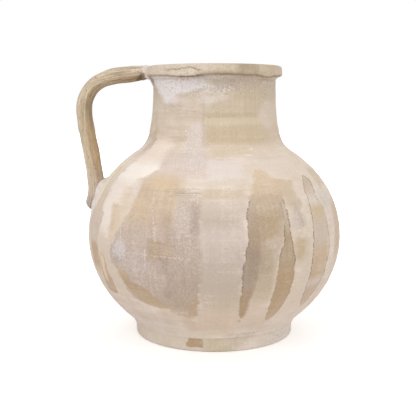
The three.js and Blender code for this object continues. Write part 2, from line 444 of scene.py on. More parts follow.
def turnedPiece(profile, closed=True):
    # a profile spun through a wedge, which is copied round the upright axis and welded;
    # the profile's ends lie on the axis unless it is a closed loop
    bm = bmesh.new()
    spots = [bm.verts.new((p.x * mm, 0, p.y * mm)) for p in profile]
    for a, b in zip(spots, spots[1:]):
        bm.edges.new((a, b))
    if closed:
        bm.edges.new((spots[-1], spots[0]))
    turn = 2 * math.pi / form["wedges"]
    bmesh.ops.spin(
        bm, geom=bm.verts[:] + bm.edges[:], cent=(0, 0, 0), axis=(0, 0, 1),
        angle=turn, steps=form["turns"] // form["wedges"], use_merge=False,
    )
    while turn < 2 * math.pi - 0.01:
        copy = bmesh.ops.duplicate(bm, geom=bm.verts[:] + bm.edges[:] + bm.faces[:])["geom"]
        verts = [g for g in copy if isinstance(g, bmesh.types.BMVert)]
        bmesh.ops.rotate(bm, verts=verts, cent=(0, 0, 0), matrix=Matrix.Rotation(turn, 3, "Z"))
        turn *= 2
    bmesh.ops.remove_doubles(bm, verts=bm.verts[:], dist=form["weld"] * mm)
    bmesh.ops.recalc_face_normals(bm, faces=bm.faces[:])
    return bm


def pushed(vert, amount, tilt):
    # moves a vertex out from the axis, or up where the outline slopes
    out = Vector((vert.co.x, vert.co.y, 0)).normalized()
    vert.co += (out - Vector((0, 0, tilt))) / math.hypot(1, tilt) * amount * mm


def workWall(bm, name):
    # hand relief on the outer and inner faces, and a layer that says how far in a vertex lies
    inner = bm.verts.layers.float.new("inner")
    low, high = outlines[name][0].y, outlines[name][-1].y - 0.01
    for vert in bm.verts:
        x, y, z = vert.co / mm
        depth = outsideAt(min(max(z, low), high)) - math.hypot(x, y)
        vert[inner] = clamped(depth / hand["skin"])
        if depth < hand["outerWithin"]:
            pushed(vert, bodyRelief(x, y, z), tiltAt(z))
        elif depth > form["wall"] - hand["innerWithin"]:
            pushed(vert, -insideRelief(x, y, z), tiltAt(z))


def finishPiece(name, bm, material, node):
    mesh = bpy.data.meshes.new(name)
    bm.to_mesh(mesh)
    bm.free()
    mesh.shade_smooth()
    mesh.set_sharp_from_angle(angle=math.radians(form["sharpAngle"]))
    piece = bpy.data.objects.new(name, mesh)
    bpy.context.scene.collection.objects.link(piece)
    mesh.materials.append(material)
    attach(piece, "root")
    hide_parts(node)
    print("made", name, len(mesh.polygons), "faces")


# Washes and runs on the clay. An edge is one of six kinds, which set in millimetres how blurred
# its sides are (soft), and how its sides and its two ends wander with each grain of the clay.

edgeKinds = {
    "run": {"soft": 0.8, "sides": {"ragged": 1, "speck": 4}, "ends": {"ragged": 0.8, "drag": 6}},
    "dry": {"soft": 1.6, "sides": {"ragged": 1.5, "speck": 12, "wander": 1, "brush": 9},
            "ends": {"ragged": 1, "speck": 8, "drag": 9}},
    "crisp": {"soft": 0.8, "sides": {"ragged": 0.6, "speck": 5}, "ends": {"ragged": 0.6, "speck": 4}},
    "stroke": {"soft": 3, "sides": {"ragged": 1.5, "speck": 12, "wander": 1.5, "brush": 26},
               "ends": {"ragged": 0.6, "speck": 4, "wander": 0.3}},
    "crumbly": {"soft": 2.5, "sides": {"ragged": 1.5, "speck": 30, "wander": 1.5, "brush": 10},
                "ends": {"ragged": 1, "speck": 24, "drag": 16}},
    "blur": {"soft": 5, "sides": {"ragged": 1, "speck": 8, "wander": 3, "brush": 24},
             "ends": {"ragged": 1, "speck": 6, "wander": 1, "brush": 14}},
}
runs = []


def wash(name, edge="blur", *, left, right, tone, soft=None, fade=(6, 6), strength=0.85,
         thin=0.25, chalk=0, grit=None, tide=0, tideFrom=None):
    # left, right: its edges as (height, angle) pairs; tone: one, or a list of (height, tone);
    # soft: blur of both sides, or of the left and the right; fade: blur of its lower and upper end;
    # thin: how much of it is worn through; chalk: pale bloom on it; grit: roughness of its grain;
    # tide: darkness of its dried edge, which fades below the height tideFrom
    soft = soft or edgeKinds[edge]["soft"]
    heights = [h for h, _ in left + right]
    runs.append({
        "name": name, "edge": edge, "left": left, "right": right, "tone": tone,
        "low": min(heights), "high": max(heights), "fade": fade,
        "soft": soft if isinstance(soft, tuple) else (soft, soft),
        "strength": strength, "thin": thin, "chalk": chalk, "grit": grit,
        "tide": tide, "tideFrom": tideFrom,
    })


# The clay's own tone by height
bodyTones = [
    (0, (220, 206, 192)), (14, (224, 210, 196)), (24, (236, 221, 207)), (33, (231, 216, 203)),
    (45, (227, 209, 193)), (70, (218, 200, 182)), (100, (217, 200, 183)), (130, (219, 203, 188)),
    (160, (224, 208, 192)), (182, (227, 211, 195)), (203, (227, 211, 195)), (212, (224, 207, 189)),
    (222, (208, 189, 168)), (240, (213, 196, 177)), (262, (211, 195, 178)), (284, (197, 182, 166)),
]

wash("middle strip", fade=(12, 16),
     left=[(15, -6), (60, -7), (178, -8)], right=[(15, 12), (60, 12), (178, 14)],
     tone=[(30, (230, 211, 189)), (50, (212, 192, 171)), (75, (195, 178, 161)),
           (110, (188, 174, 163)), (130, (207, 191, 181)), (148, (194, 178, 164)),
           (160, (210, 194, 180)), (178, (213, 198, 183))])
wash("middle tan bar", "stroke", strength=0.7, fade=(3, 3),
     left=[(165, -6), (177, -6)], right=[(165, 13), (177, 13)], tone=(209, 190, 164))
wash("bottom warmth", strength=0.7, fade=(8, 18),
     left=[(24, -12), (62, -9)], right=[(24, 27), (62, 27)], tone=(221, 201, 181))
wash("cream at the left edge", strength=0.9, fade=(10, 6), soft=(5, 2.5),
     left=[(146, -100), (222, -100)],
     right=[(146, -71), (166, -70), (187, -73), (195, -71), (205, -68), (222, -67)],
     tone=[(150, (238, 224, 204)), (195, (242, 228, 206)), (208, (234, 222, 212)),
           (222, (222, 211, 203))])
wash("shoulder cream left", "stroke", strength=1, fade=(16, 12), thin=0.1, soft=(3, 3.5),
     left=[(170, -62), (190, -61.5), (199, -59), (206, -57)],
     right=[(170, -49), (184, -41), (190, -34), (199, -32), (206, -38)], tone=(251, 241, 230))
wash("cream beside the stripe", strength=0.8, fade=(20, 12), thin=0.2,
     left=[(118, -61), (182, -62)], right=[(118, -52), (182, -46)], tone=(243, 229, 218))
wash("shoulder cream middle", strength=0.9, fade=(12, 4), thin=0.3,
     left=[(178, -8), (205, -6)], right=[(178, 15), (205, 15)], tone=(231, 219, 210))
wash("shoulder cream right", strength=0.65, fade=(12, 4),
     left=[(180, 30), (206, 22)], right=[(180, 54), (206, 60)], tone=(226, 210, 196))
wash("shoulder beige", "stroke", fade=(4, 8), chalk=0.3, grit=0.7,
     left=[(183, -27), (195, -32), (212, -33)], right=[(183, -5), (212, -6)], tone=(221, 203, 191))
wash("tan left", "dry", strength=0.95, fade=(26, 3), thin=0.25, grit=0.45, soft=(1.4, 7),
     left=[(118, -46), (145, -40.2), (155, -39.4), (168, -38.5), (175, -38.6), (182, -38), (190, -36),
           (193, -33)], right=[(118, -20), (150, -16), (170, -15), (180, -15), (187, -18), (193, -23)],
     tone=[(120, (203, 183, 165)), (150, (208, 185, 161)), (175, (208, 184, 158)),
           (184, (217, 194, 171)), (192, (228, 208, 192))])
wash("gold spot", strength=0.5, fade=(5, 5),
     left=[(173, -31), (188, -33)], right=[(173, -20), (188, -21)], tone=(227, 200, 163))
wash("gold left", strength=0.5, soft=(1.5, 5), fade=(6, 6),
     left=[(142, -40.5), (166, -38.8)], right=[(142, -29), (166, -31)], tone=(214, 189, 156))
wash("gold smear left", "dry", strength=0.8, fade=(5, 5), soft=2.5,
     left=[(118, -50), (135, -49.8), (160, -53.3)], right=[(118, -47.5), (137, -45), (160, -47.5)],
     tone=(214, 192, 169))
wash("gold beside the patch", strength=0.55, soft=2.5, fade=(10, 10),
     left=[(120, -48), (158, -47), (178, -52)], right=[(120, -44), (145, -41), (178, -43)],
     tone=(226, 204, 178))
wash("grey patch", "dry", strength=0.95, fade=(1, 44), grit=1, chalk=0.3,
     left=[(53, -22), (57, -33.5), (68, -42), (86, -43.5), (97, -47.5), (110, -49.3), (122, -46),
           (139, -42.5), (166, -39)], right=[(53, -7), (115, -6), (166, -8)],
     tone=[(56, (193, 173, 155)), (84, (195, 176, 163)), (110, (191, 172, 159)),
           (127, (198, 179, 166)), (140, (196, 175, 159)), (166, (206, 184, 163))])
wash("chalky low left", "crumbly", strength=0.5, soft=5, fade=(8, 8), chalk=0.8, grit=1,
     left=[(88, -44), (120, -44)], right=[(88, -28), (120, -27)], tone=(202, 186, 177))
wash("grey column", "dry", strength=0.9, fade=(1, 10), grit=1, chalk=0.3, soft=(4, 1.5),
     left=[(45, -15), (48, -19), (53, -21), (90, -19), (150, -17.5), (178, -18)],
     right=[(45, -10), (48, -9), (56, -7.7), (70, -6.7), (115, -5.8), (150, -5.8), (178, -6.8)],
     tone=[(46, (203, 181, 158)), (60, (191, 170, 150)), (80, (186, 166, 150)),
           (120, (188, 170, 156)), (150, (200, 183, 169)), (175, (210, 192, 176))])
wash("light column", "crumbly", strength=0.35, soft=4, fade=(10, 10), chalk=0.4, grit=1,
     left=[(126, -16), (166, -18)], right=[(126, -10), (166, -11)], tone=(213, 197, 187))
wash("brown square", "dry", strength=0.55, soft=2.5, fade=(3, 3),
     left=[(105, -28), (128, -28)], right=[(105, -17), (128, -17)], tone=(184, 160, 131))
wash("dark strip high", "dry", strength=0.55, soft=2.5, fade=(4, 6),
     left=[(122, -20.5), (158, -21.7)], right=[(122, -16.8), (158, -18)], tone=(182, 160, 141))
wash("dark strip right", "dry", strength=0.65, soft=2, fade=(4, 4), chalk=0.2,
     left=[(132, -10.3), (165, -11)], right=[(132, -6), (165, -6.6)], tone=(176, 158, 146))
wash("dark strip low", "dry", strength=0.5, soft=2, fade=(6, 4),
     left=[(64, -22.6), (88, -21), (112, -23.2)], right=[(64, -19.4), (88, -18), (112, -18.8)],
     tone=(163, 144, 130))
wash("dark strip low right", "dry", strength=0.35, fade=(8, 8),
     left=[(78, -13.5), (107, -12.7)], right=[(78, -12), (107, -11.3)], tone=(168, 147, 130))
wash("gold band", "dry", strength=0.9, fade=(1, 8), grit=0.6, soft=(2.2, 1.5),
     left=[(53, -21), (55, -26), (56.5, -31.6), (62, -36.8), (72, -41.6), (90, -45.2), (98, -46.5)],
     right=[(53, -20), (60, -22.5), (64, -25), (71, -29.2), (76, -31.2), (82, -38), (94, -40.2),
            (98, -42)],
     tone=[(54, (203, 180, 153)), (64, (192, 166, 136)), (78, (184, 158, 128)), (96, (200, 177, 150))])
wash("gold corner", "dry", strength=0.7, fade=(3, 6),
     left=[(47, -12.5), (70, -10.7)], right=[(47, -9.5), (56, -7.7), (70, -7)], tone=(194, 167, 138))
wash("drip under the patch", strength=0.55, soft=2.5, fade=(8, 3),
     left=[(20, -15), (46, -17)], right=[(20, -11.5), (46, -10)], tone=(213, 191, 169))
wash("foot stain", "crisp", strength=0.95, fade=(0.5, 0.5), tide=0.12, thin=0.15,
     left=[(4.5, -19.7), (7, -19.6), (12, -18), (15.5, -17.5)],
     right=[(4.5, -8), (9, -7.6), (15.5, -9)], tone=(186, 159, 127))
wash("foot olive", strength=0.55, fade=(1, 3), soft=(4, 12), thin=0.4,
     left=[(-3, -7.5), (17, -7)], right=[(-3, 17), (17, 14)], tone=(200, 184, 152))
wash("foot middle", strength=0.75, fade=(2, 4), soft=(5, 8), thin=0.4, grit=0.8,
     left=[(4, 10), (24, 9)], right=[(4, 22), (24, 30)], tone=(202, 187, 170))
wash("foot right", strength=0.6, fade=(2, 3), soft=(6, 8), grit=0.8,
     left=[(-2, 36), (15, 42)], right=[(-2, 90), (15, 90)], tone=(224, 214, 205))
wash("low left", strength=0.3, soft=6, fade=(8, 6),
     left=[(30, -62), (62, -60)], right=[(30, -22), (46, -30), (62, -42)], tone=(205, 187, 173))
wash("bloom over the foot", strength=0.5, soft=6, fade=(4, 8),
     left=[(18, -68), (36, -66)], right=[(18, -25), (36, -30)], tone=(231, 216, 209))
wash("shoulder top left", strength=0.7, soft=(6, 8), fade=(4, 16),
     left=[(196, -64), (230, -66)], right=[(196, -44), (210, -36), (230, -38)], tone=(250, 233, 219))
wash("left stripe", "dry", strength=0.85, fade=(10, 6), tide=0.25, soft=(2, 1.2),
     left=[(103, -67), (120, -72), (137, -78), (148, -71), (166, -70), (178, -70.5), (188, -69),
           (195, -69), (205, -68), (213, -67), (222, -65), (232, -66)],
     right=[(103, -60), (116, -60.5), (133, -58.3), (140, -58), (145, -57.5), (149, -61), (163, -62),
            (178, -63.4), (188, -63), (193, -60.4), (204, -59.6), (209, -59.2), (217, -57), (232, -59)],
     tone=[(105, (214, 196, 179)), (130, (206, 188, 173)), (150, (214, 195, 177)),
           (163, (216, 198, 179)), (178, (226, 210, 192)), (190, (236, 221, 202)),
           (200, (238, 223, 207)), (206, (222, 207, 193)), (214, (210, 193, 179)),
           (228, (203, 184, 162))])
wash("luting smear", "crumbly", strength=0.85, fade=(6, 6),
     left=[(134, -106), (184, -106)],
     right=[(134, -74), (146, -76), (159, -80), (168, -81), (184, -84)], tone=(240, 228, 220))
wash("orange tan", "dry", strength=0.85, fade=(16, 8),
     left=[(76, -68), (117, -70)], right=[(76, -58), (117, -60)], tone=(193, 165, 137))
wash("leaf streak", "run", strength=0.95, fade=(2, 6), tide=0.15,
     left=[(59, -56), (65, -60.5), (80, -59.3), (98, -58.3), (108, -57.5)],
     right=[(59, -53), (67, -51), (76, -51.3), (84, -52.7), (98, -53.6), (108, -54.2)],
     tone=[(60, (194, 168, 146)), (80, (196, 171, 147)), (105, (210, 190, 167))])
wash("leaf light", "run", fade=(4, 4),
     left=[(72, -58), (104, -57.2)], right=[(72, -55.6), (104, -55.2)], tone=(230, 207, 176))
wash("chalk blob", "crumbly", strength=0.8, fade=(3, 5), chalk=1, grit=1,
     left=[(104, -48), (125, -45)], right=[(104, -40), (125, -40)], tone=(212, 201, 199))
wash("tan wash", "dry", strength=0.85, fade=(6, 2), thin=0.25, soft=(2, 4),
     left=[(164, 17), (175, 17.4), (184, 20), (194, 21.5)],
     right=[(164, 40), (173, 39.5), (181, 42), (184, 31), (194, 27.5)],
     tone=[(168, (207, 185, 159)), (178, (211, 188, 159)), (194, (219, 196, 167))])
wash("wash", "dry", strength=0.95, fade=(34, 3), grit=0.7, soft=(1.6, 4),
     left=[(44, 14), (85, 15), (172, 15)],
     right=[(44, 24), (85, 25.5), (104, 26.6), (120, 28.2), (140, 29.4), (172, 33)],
     tone=[(50, (209, 188, 165)), (85, (196, 176, 153)), (108, (192, 174, 155)),
           (128, (191, 172, 150)), (148, (188, 167, 142)), (160, (192, 171, 147)),
           (172, (203, 182, 156))])
wash("wash brown", strength=0.7, soft=4, fade=(4, 5), grit=0.7,
     left=[(126, 15), (152, 16)], right=[(126, 25), (152, 28)], tone=(182, 158, 127))
wash("wash pink", strength=0.6, soft=3, fade=(3, 3),
     left=[(119, 20.5), (131, 21)], right=[(119, 28), (131, 28.5)], tone=(203, 184, 167))
wash("wash olive", strength=0.6, soft=3, fade=(3, 3),
     left=[(92, 15), (102, 18), (119, 18)], right=[(92, 22), (102, 25), (119, 25)],
     tone=(180, 159, 131))
wash("beside the first drip", "dry", strength=0.8, fade=(8, 10), grit=1, soft=(1, 7),
     left=[(82, 12.5), (158, 14)], right=[(82, 17), (110, 20), (158, 20)],
     tone=[(84, (180, 160, 142)), (112, (172, 151, 129)), (132, (180, 158, 133)),
           (148, (177, 156, 133)), (158, (184, 163, 140))])
wash("wash right", "dry", strength=0.8, fade=(16, 3), soft=(3, 2.5),
     left=[(146, 33), (182, 32)],
     right=[(146, 38.4), (151, 38.8), (158.6, 40.9), (174, 41.3), (182, 43)],
     tone=[(150, (206, 188, 168)), (165, (206, 187, 163)), (178, (212, 192, 168))])
wash("grey smudge", "crumbly", strength=0.65, soft=4, fade=(6, 5), chalk=0.6, grit=0.8,
     left=[(133, 33), (155, 34.3)], right=[(133, 37.5), (155, 39)], tone=(201, 187, 174))
wash("thin streak", "crumbly", strength=0.85, soft=2.5, fade=(6, 5), grit=0.8,
     left=[(132, 38.8), (140, 38), (148, 37.2), (156, 37), (164, 36.6)],
     right=[(132, 41.6), (140, 41), (148, 40.2), (156, 39.6), (164, 39)], tone=(180, 163, 150))
wash("olive between", strength=0.75, soft=6, fade=(22, 12),
     left=[(92, 35), (113, 34.8), (124, 34.2), (134, 33.8)],
     right=[(92, 40.4), (113, 41), (124, 41), (134, 40)], tone=(188, 166, 130))
wash("pale between", strength=0.6, soft=3, fade=(14, 8),
     left=[(80, 39), (123, 40.1), (150, 42), (165, 44)], right=[(80, 43.7), (122, 43.8), (165, 49)],
     tone=(209, 194, 174))
wash("tan beside the streak", "dry", strength=0.9, soft=3, fade=(6, 6),
     left=[(150, 38), (166, 38.6)], right=[(150, 42), (166, 43)], tone=(203, 185, 163))
wash("first drip", "run", strength=0.95, fade=(1, 1.5), tide=0.75, grit=0.9, thin=0.12, soft=(0.8, 2.2),
     tideFrom=74,
     left=[(44, 12.8), (50, 11.2), (60, 10.7), (84, 11), (99, 10.9), (110, 11.9), (119, 12),
           (122, 12.9), (150, 13), (161, 14.2), (168, 15.8)],
     right=[(44, 13.2), (47, 13.9), (56, 14.8), (67, 15.3), (78, 16.4), (86, 16.8), (94, 17.4),
            (138, 17.8), (161, 17.6), (168, 16.2)],
     tone=[(45, (182, 156, 126)), (72, (175, 150, 125)), (82, (175, 155, 138)), (96, (166, 147, 130)),
           (115, (166, 145, 126)), (135, (174, 153, 131)), (152, (184, 164, 143)),
           (166, (197, 180, 162))])
wash("stray drop", "run", strength=0.8, fade=(1, 1),
     left=[(39.5, 11.5), (43.5, 11.8)], right=[(39.5, 13.2), (43.5, 13)], tone=(194, 171, 146))
wash("second drip", "run", strength=0.97, fade=(1.5, 1.5), tide=0.7, grit=0.6, thin=0.1, tideFrom=104,
     left=[(37.5, 27.3), (45, 26), (62, 25.5), (84, 25.8), (105, 26.2), (118, 27.3), (121, 28.4),
           (141, 29.4), (160, 30), (166, 31.3)],
     right=[(37.5, 28.6), (45, 31.6), (58, 33.5), (78, 34.6), (104, 34.3), (119, 33.2), (133, 32.4),
            (156, 32.2), (166, 31.9)],
     tone=[(40, (205, 180, 155)), (52, (193, 167, 139)), (70, (183, 157, 127)), (95, (180, 154, 124)),
           (106, (178, 156, 131)), (118, (180, 158, 134)), (128, (177, 155, 127)),
           (138, (190, 171, 150)), (160, (203, 185, 168))])
wash("third drip", "run", strength=0.95, fade=(4, 1.5), tide=0.85, chalk=0.15, grit=0.5, thin=0.15,
     tideFrom=62,
     left=[(46, 48), (53, 45.9), (63, 44.6), (75, 43.8), (85, 44.4), (101, 44.4), (117, 44.7),
           (132, 45.4), (148, 46.3), (159, 47), (170, 48), (178, 50), (185, 54)],
     right=[(46, 51), (57, 53.4), (70, 55), (80, 56.2), (96, 56.8), (112, 58.2), (123, 57.4),
            (142, 57.4), (150, 57.8), (157, 56.4), (163, 55.3), (170, 56.2), (178, 57.7), (185, 55.4)],
     tone=[(50, (205, 186, 168)), (60, (195, 172, 150)), (68, (196, 174, 153)), (76, (210, 193, 180)),
           (84, (196, 171, 143)), (104, (197, 172, 143)), (114, (203, 183, 160)),
           (124, (208, 189, 174)), (138, (206, 188, 172)), (144, (203, 182, 152)),
           (153, (207, 187, 157)), (160, (224, 209, 200)), (172, (208, 188, 168)),
           (182, (202, 186, 162))])
wash("right pale", strength=0.5, soft=2.5, fade=(14, 14), chalk=0.3,
     left=[(60, 57), (180, 57)], right=[(60, 66), (180, 67)], tone=(221, 205, 192))
wash("chalk right", "crumbly", strength=0.6, fade=(4, 5), chalk=0.8, soft=4,
     left=[(150, 59), (170, 58)], right=[(150, 69), (170, 70)], tone=(203, 193, 182))
wash("right edge tan", "dry", strength=0.65, fade=(14, 10), soft=3,
     left=[(92, 64), (130, 65), (160, 69)], right=[(92, 76), (130, 76), (160, 82)],
     tone=(202, 179, 154))
wash("right shoulder tan", "dry", strength=0.6, fade=(4, 5),
     left=[(168, 63), (192, 64)], right=[(168, 88), (192, 92)], tone=(204, 184, 160))
wash("neck right shade", "stroke", strength=0.85, fade=(8, 1), grit=0.8, soft=(6, 3),
     left=[(258, 16), (288, 10)], right=[(258, 70), (288, 74)], tone=(200, 183, 162))
wash("neck middle bloom", "stroke", strength=0.8, fade=(4, 4), chalk=0.4, grit=0.5, soft=5,
     left=[(256, -12), (280, -12)], right=[(256, 14), (280, 16)], tone=(222, 210, 200))
wash("neck specks", "crumbly", strength=0.75, fade=(4, 1), grit=1, soft=6,
     left=[(270, 1), (288, -5)], right=[(270, 20), (288, 24)], tone=(190, 176, 163))
wash("neck lilac", "stroke", strength=0.9, fade=(6, 1), chalk=0.6, grit=0.5, soft=(6, 10),
     left=[(256, -50), (268, -58), (288, -95)],
     right=[(256, -40), (267, -36), (272, -20), (280, -8), (288, -9)], tone=(235, 227, 227))
wash("neck top specks", "crumbly", strength=0.15, thin=1, fade=(5, 1), grit=1, soft=8,
     left=[(272, -60), (288, -62)], right=[(272, 68), (288, 70)], tone=(150, 135, 120))
wash("neck brushed", "dry", strength=0.2, thin=1, fade=(5, 5), grit=0.8, soft=6,
     left=[(246, -52), (264, -54)], right=[(246, -22), (264, -26)], tone=(182, 164, 148))
wash("neck tan smear", "stroke", strength=0.45, fade=(4, 4), soft=6,
     left=[(239, -38), (253, -36)], right=[(239, -9), (253, -9)], tone=(200, 180, 162))
wash("neck tan band", "stroke", strength=0.5, fade=(3, 3), soft=6,
     left=[(264, -36), (272, -34)], right=[(264, 8), (272, 4)], tone=(206, 189, 170))
wash("olive upper", "stroke", strength=0.8, fade=(2, 6), thin=0.4, grit=0.6, soft=(9, 5),
     left=[(247, -8.5), (256, -7), (264, 8), (276, 16)], right=[(247, 42), (264, 52), (276, 54)],
     tone=(199, 181, 154))
wash("olive middle", "stroke", strength=0.75, fade=(2, 3), grit=0.6, soft=(5, 4),
     left=[(234, -8.5), (250, -8.5)], right=[(234, 43), (250, 40)], tone=(209, 191, 162))
wash("olive band", "stroke", strength=0.7, fade=(2.5, 2.5), grit=0.6, soft=4,
     left=[(243.5, -9), (251, -9)], right=[(243.5, 38), (251, 38)], tone=(189, 170, 141))
wash("olive low", "stroke", strength=0.8, fade=(9, 4), grit=0.6, soft=(5, 8),
     left=[(213, -6), (222, -8), (239, -8.5)], right=[(213, 44), (225, 47), (239, 46)],
     tone=(201, 182, 153))
wash("neck right lilac", "stroke", strength=0.5, fade=(5, 5), chalk=0.4, soft=5,
     left=[(230, 50), (248, 46)], right=[(230, 60), (248, 54)], tone=(214, 201, 188))
wash("olive tongues", "stroke", strength=0.6, fade=(2, 4),
     left=[(206, 0), (216, -4)], right=[(206, 26), (216, 34)], tone=(216, 197, 170))
wash("neck smear", "crumbly", strength=0.8, fade=(8, 8), chalk=0.7, grit=0.9,
     left=[(192, -19), (215, -24), (244, -20)], right=[(192, -6), (215, -7), (244, -10)],
     tone=(222, 208, 200))
wash("neck dark drag", "dry", strength=0.5, fade=(8, 10), grit=0.8,
     left=[(212, -9.5), (268, -12)], right=[(212, -6.5), (268, -9.5)], tone=(190, 172, 160))
wash("neck left shade", "dry", strength=0.35, fade=(6, 10),
     left=[(222, -62), (256, -69)], right=[(222, -56), (256, -64)], tone=(196, 174, 150))
wash("back patch", "dry", strength=0.9, fade=(2, 20), grit=1, chalk=0.5,
     left=[(58, 196), (84, 191), (130, 193), (172, 198)],
     right=[(58, 222), (84, 231), (130, 229), (172, 220)],
     tone=[(60, (194, 174, 154)), (120, (192, 173, 158)), (172, (212, 189, 164))])
wash("back wash", "dry", strength=0.85, fade=(20, 3), grit=0.6,
     left=[(60, 150), (176, 146)], right=[(60, 172), (176, 180)],
     tone=[(60, (206, 185, 160)), (130, (193, 172, 147)), (176, (210, 188, 160))])
wash("back drip", "run", strength=0.95, fade=(2, 1.5), tide=0.22, grit=0.7,
     left=[(46, 151), (70, 149), (110, 150), (150, 153), (166, 155)],
     right=[(46, 154), (70, 157), (110, 158), (166, 156)],
     tone=[(50, (195, 170, 142)), (110, (180, 158, 132)), (166, (200, 183, 165))])
wash("side drip", "run", strength=0.9, fade=(3, 2), tide=0.2, chalk=0.3,
     left=[(56, 117), (90, 115), (140, 117), (172, 120)],
     right=[(56, 122), (90, 126), (140, 124), (172, 121.5)],
     tone=[(60, (204, 182, 158)), (120, (196, 172, 144)), (172, (206, 189, 168))])
wash("back neck olive", "stroke", strength=0.7, fade=(3, 3),
     left=[(216, 140), (252, 146)], right=[(216, 205), (252, 196)], tone=(203, 184, 156))
wash("back neck lilac", "stroke", strength=0.8, fade=(8, 1), chalk=0.6,
     left=[(258, 112), (288, 100)], right=[(258, 160), (288, 170)], tone=(222, 211, 206))

# Scored, rubbed and scratched lines: from (angle, height), to (angle, height), width, tone, strength
lines = [
    ((-25, 175), (-6, 176), 0.7, (176, 152, 130), 0.5),
    ((-20, 171.5), (-5, 172.5), 0.9, (146, 124, 106), 0.6),
    ((-26, 173), (-12, 174), 0.7, (160, 138, 120), 0.6),
    ((-22, 169.5), (-8, 170), 0.6, (170, 148, 128), 0.5),
    ((-15.5, 165), (-12, 161), 0.7, (160, 138, 122), 0.5),
    ((-27, 125), (-15, 121), 0.8, (158, 134, 112), 0.6),
    ((-26, 114.5), (-17, 111.5), 0.8, (164, 140, 118), 0.5),
    ((-15, 115.5), (-9, 112.5), 0.7, (168, 144, 124), 0.4),
    ((-44, 112.5), (-9, 110), 0.8, (226, 208, 190), 0.5),
    ((-29, 172), (-24.6, 127), 1.5, (228, 212, 206), 0.6),
    ((-29.2, 121), (-29.5, 95), 1.0, (228, 214, 208), 0.6),
    ((-27.2, 127), (-29, 74), 0.9, (164, 142, 124), 0.45),
    ((-43, 138), (-41.5, 111), 1.0, (234, 222, 220), 0.7),
    ((-36, 150), (-39.5, 144), 0.7, (176, 150, 124), 0.6),
    ((-46.5, 142), (-49, 137), 0.7, (184, 160, 136), 0.6),
    ((9, 15.8), (64, 15.8), 0.9, (172, 154, 132), 0.45),
    ((44, 13), (53, 5.5), 0.7, (156, 146, 132), 0.6),
    ((47, 8), (60, 12.5), 0.7, (160, 150, 136), 0.6),
    ((53, 6), (62, 8), 0.6, (164, 152, 138), 0.5),
    ((62.4, 132), (61.5, 96), 1.0, (236, 222, 206), 0.7),
    ((66.2, 132), (67.2, 94), 1.2, (186, 158, 130), 0.7),
    ((-30, 17.4), (24, 17.4), 1.0, (240, 224, 206), 0.45),
    ((-56.8, 226), (-57.8, 208), 1.3, (158, 138, 116), 0.75),
    ((-57.6, 213), (-58.4, 198), 1.2, (176, 156, 134), 0.5),
    ((-68, 216), (-72, 200), 1.0, (182, 166, 148), 0.4),
    ((-47, 262), (-35, 254), 0.7, (176, 158, 144), 0.5),
    ((-44, 258), (-30, 251), 0.7, (176, 158, 144), 0.5),
    ((-38, 259), (-26, 254), 0.6, (182, 164, 150), 0.4),
    ((0, 286), (9, 277), 0.6, (164, 150, 138), 0.5),
    ((-6, 285), (4, 276), 0.6, (164, 150, 138), 0.5),
    ((24, 211.5), (31, 213.5), 1.7, (250, 243, 230), 0.8),
    ((19, 207), (28, 206), 1.3, (248, 240, 226), 0.6),
    ((-50, 257), (-16, 255), 0.7, (184, 162, 142), 0.4),
    ((-46, 251), (-10, 251.5), 0.6, (184, 162, 142), 0.35),
    ((-84, 282), (-40, 281.5), 1.4, (240, 231, 224), 0.5),
    ((46, 281), (74, 281), 1.0, (232, 220, 206), 0.6),
    ((-2, 204.5), (20, 204), 0.9, (244, 234, 218), 0.6),
    ((18, 203), (60, 204), 0.7, (200, 180, 158), 0.4),
    ((160, 170), (188, 171), 0.9, (160, 138, 118), 0.5),
    ((196, 118), (226, 115), 0.9, (226, 208, 190), 0.5),
]
print("washes listed:", len(runs))

# Tones that the clay takes on in many places
tints = {
    "light": (238, 225, 214),
    "warm": (210, 190, 165),
    "chalk": (224, 213, 209),
    "driedEdge": (122, 100, 80),
    "pit": (146, 124, 102),
    "pepper": (146, 129, 113),
    "fleck": (240, 230, 222),
    "inside": (196, 176, 150),
}
washReach = 80  # degrees round the pot that one wash can cover
frontReach = 95  # what is centred further round is read by the angle that runs on over the back
lineTaper = 5  # length over which a line's ends fade
stroke = 120  # radius that down-going drags are combed on, whatever the pot's own is


def findSpot(paint):
    # where a point lies: its place in millimetres, its height, and its angle round the pot;
    # and the shared grains: brush strokes go round the pot, and drags go down it
    place = paint.node("ShaderNodeTexCoord", output=3)
    place = place.node("ShaderNodeVectorMath", {"operation": "SCALE"}, {0: place, 3: 1 / mm})
    x = place.split()
    y, z = x.also(1), x.also(2)
    radius = (x * x + y * y).math("SQRT")
    combed = {0: x / radius * stroke, 1: y / radius * stroke, 2: z * 0.05}
    spot = {
        "place": place,
        "ragged": place.grain(7, 4, 0.65) * 6,
        "wander": place.grain(24, 2, 0.5) * 6,
        "speck": place.grain(1.8, 2, 0.7),
        "brush": place.stretched(0.06, 0.06, 1).grain(5, 3, 0.65),
        "drag": place.node("ShaderNodeCombineXYZ", None, combed).grain(4, 3, 0.6),
        "cloud": place.grain(32, 3, 0.6),
    }
    # height and angle take a trace of the grain, so that the renderer, which works out the nodes
    # that wait for no grain first, has to keep only one wash in mind at a time
    spot["height"] = z + spot["speck"] * 0.1
    spot["share"] = spot["height"] / form["rimTop"]
    spot["angle"] = x.math("ARCTAN2", y * -1) * (180 / math.pi) + spot["speck"] * 0.05
    spot["backAngle"] = spot["angle"].math("WRAP", 360, 0)
    spot["arc"] = (radius + spot["speck"] * 0.1) * (washReach * math.pi / 180)
    return spot


def angleNear(spot, centre):
    return spot["angle"] if abs(centre) < frontReach else spot["backAngle"]


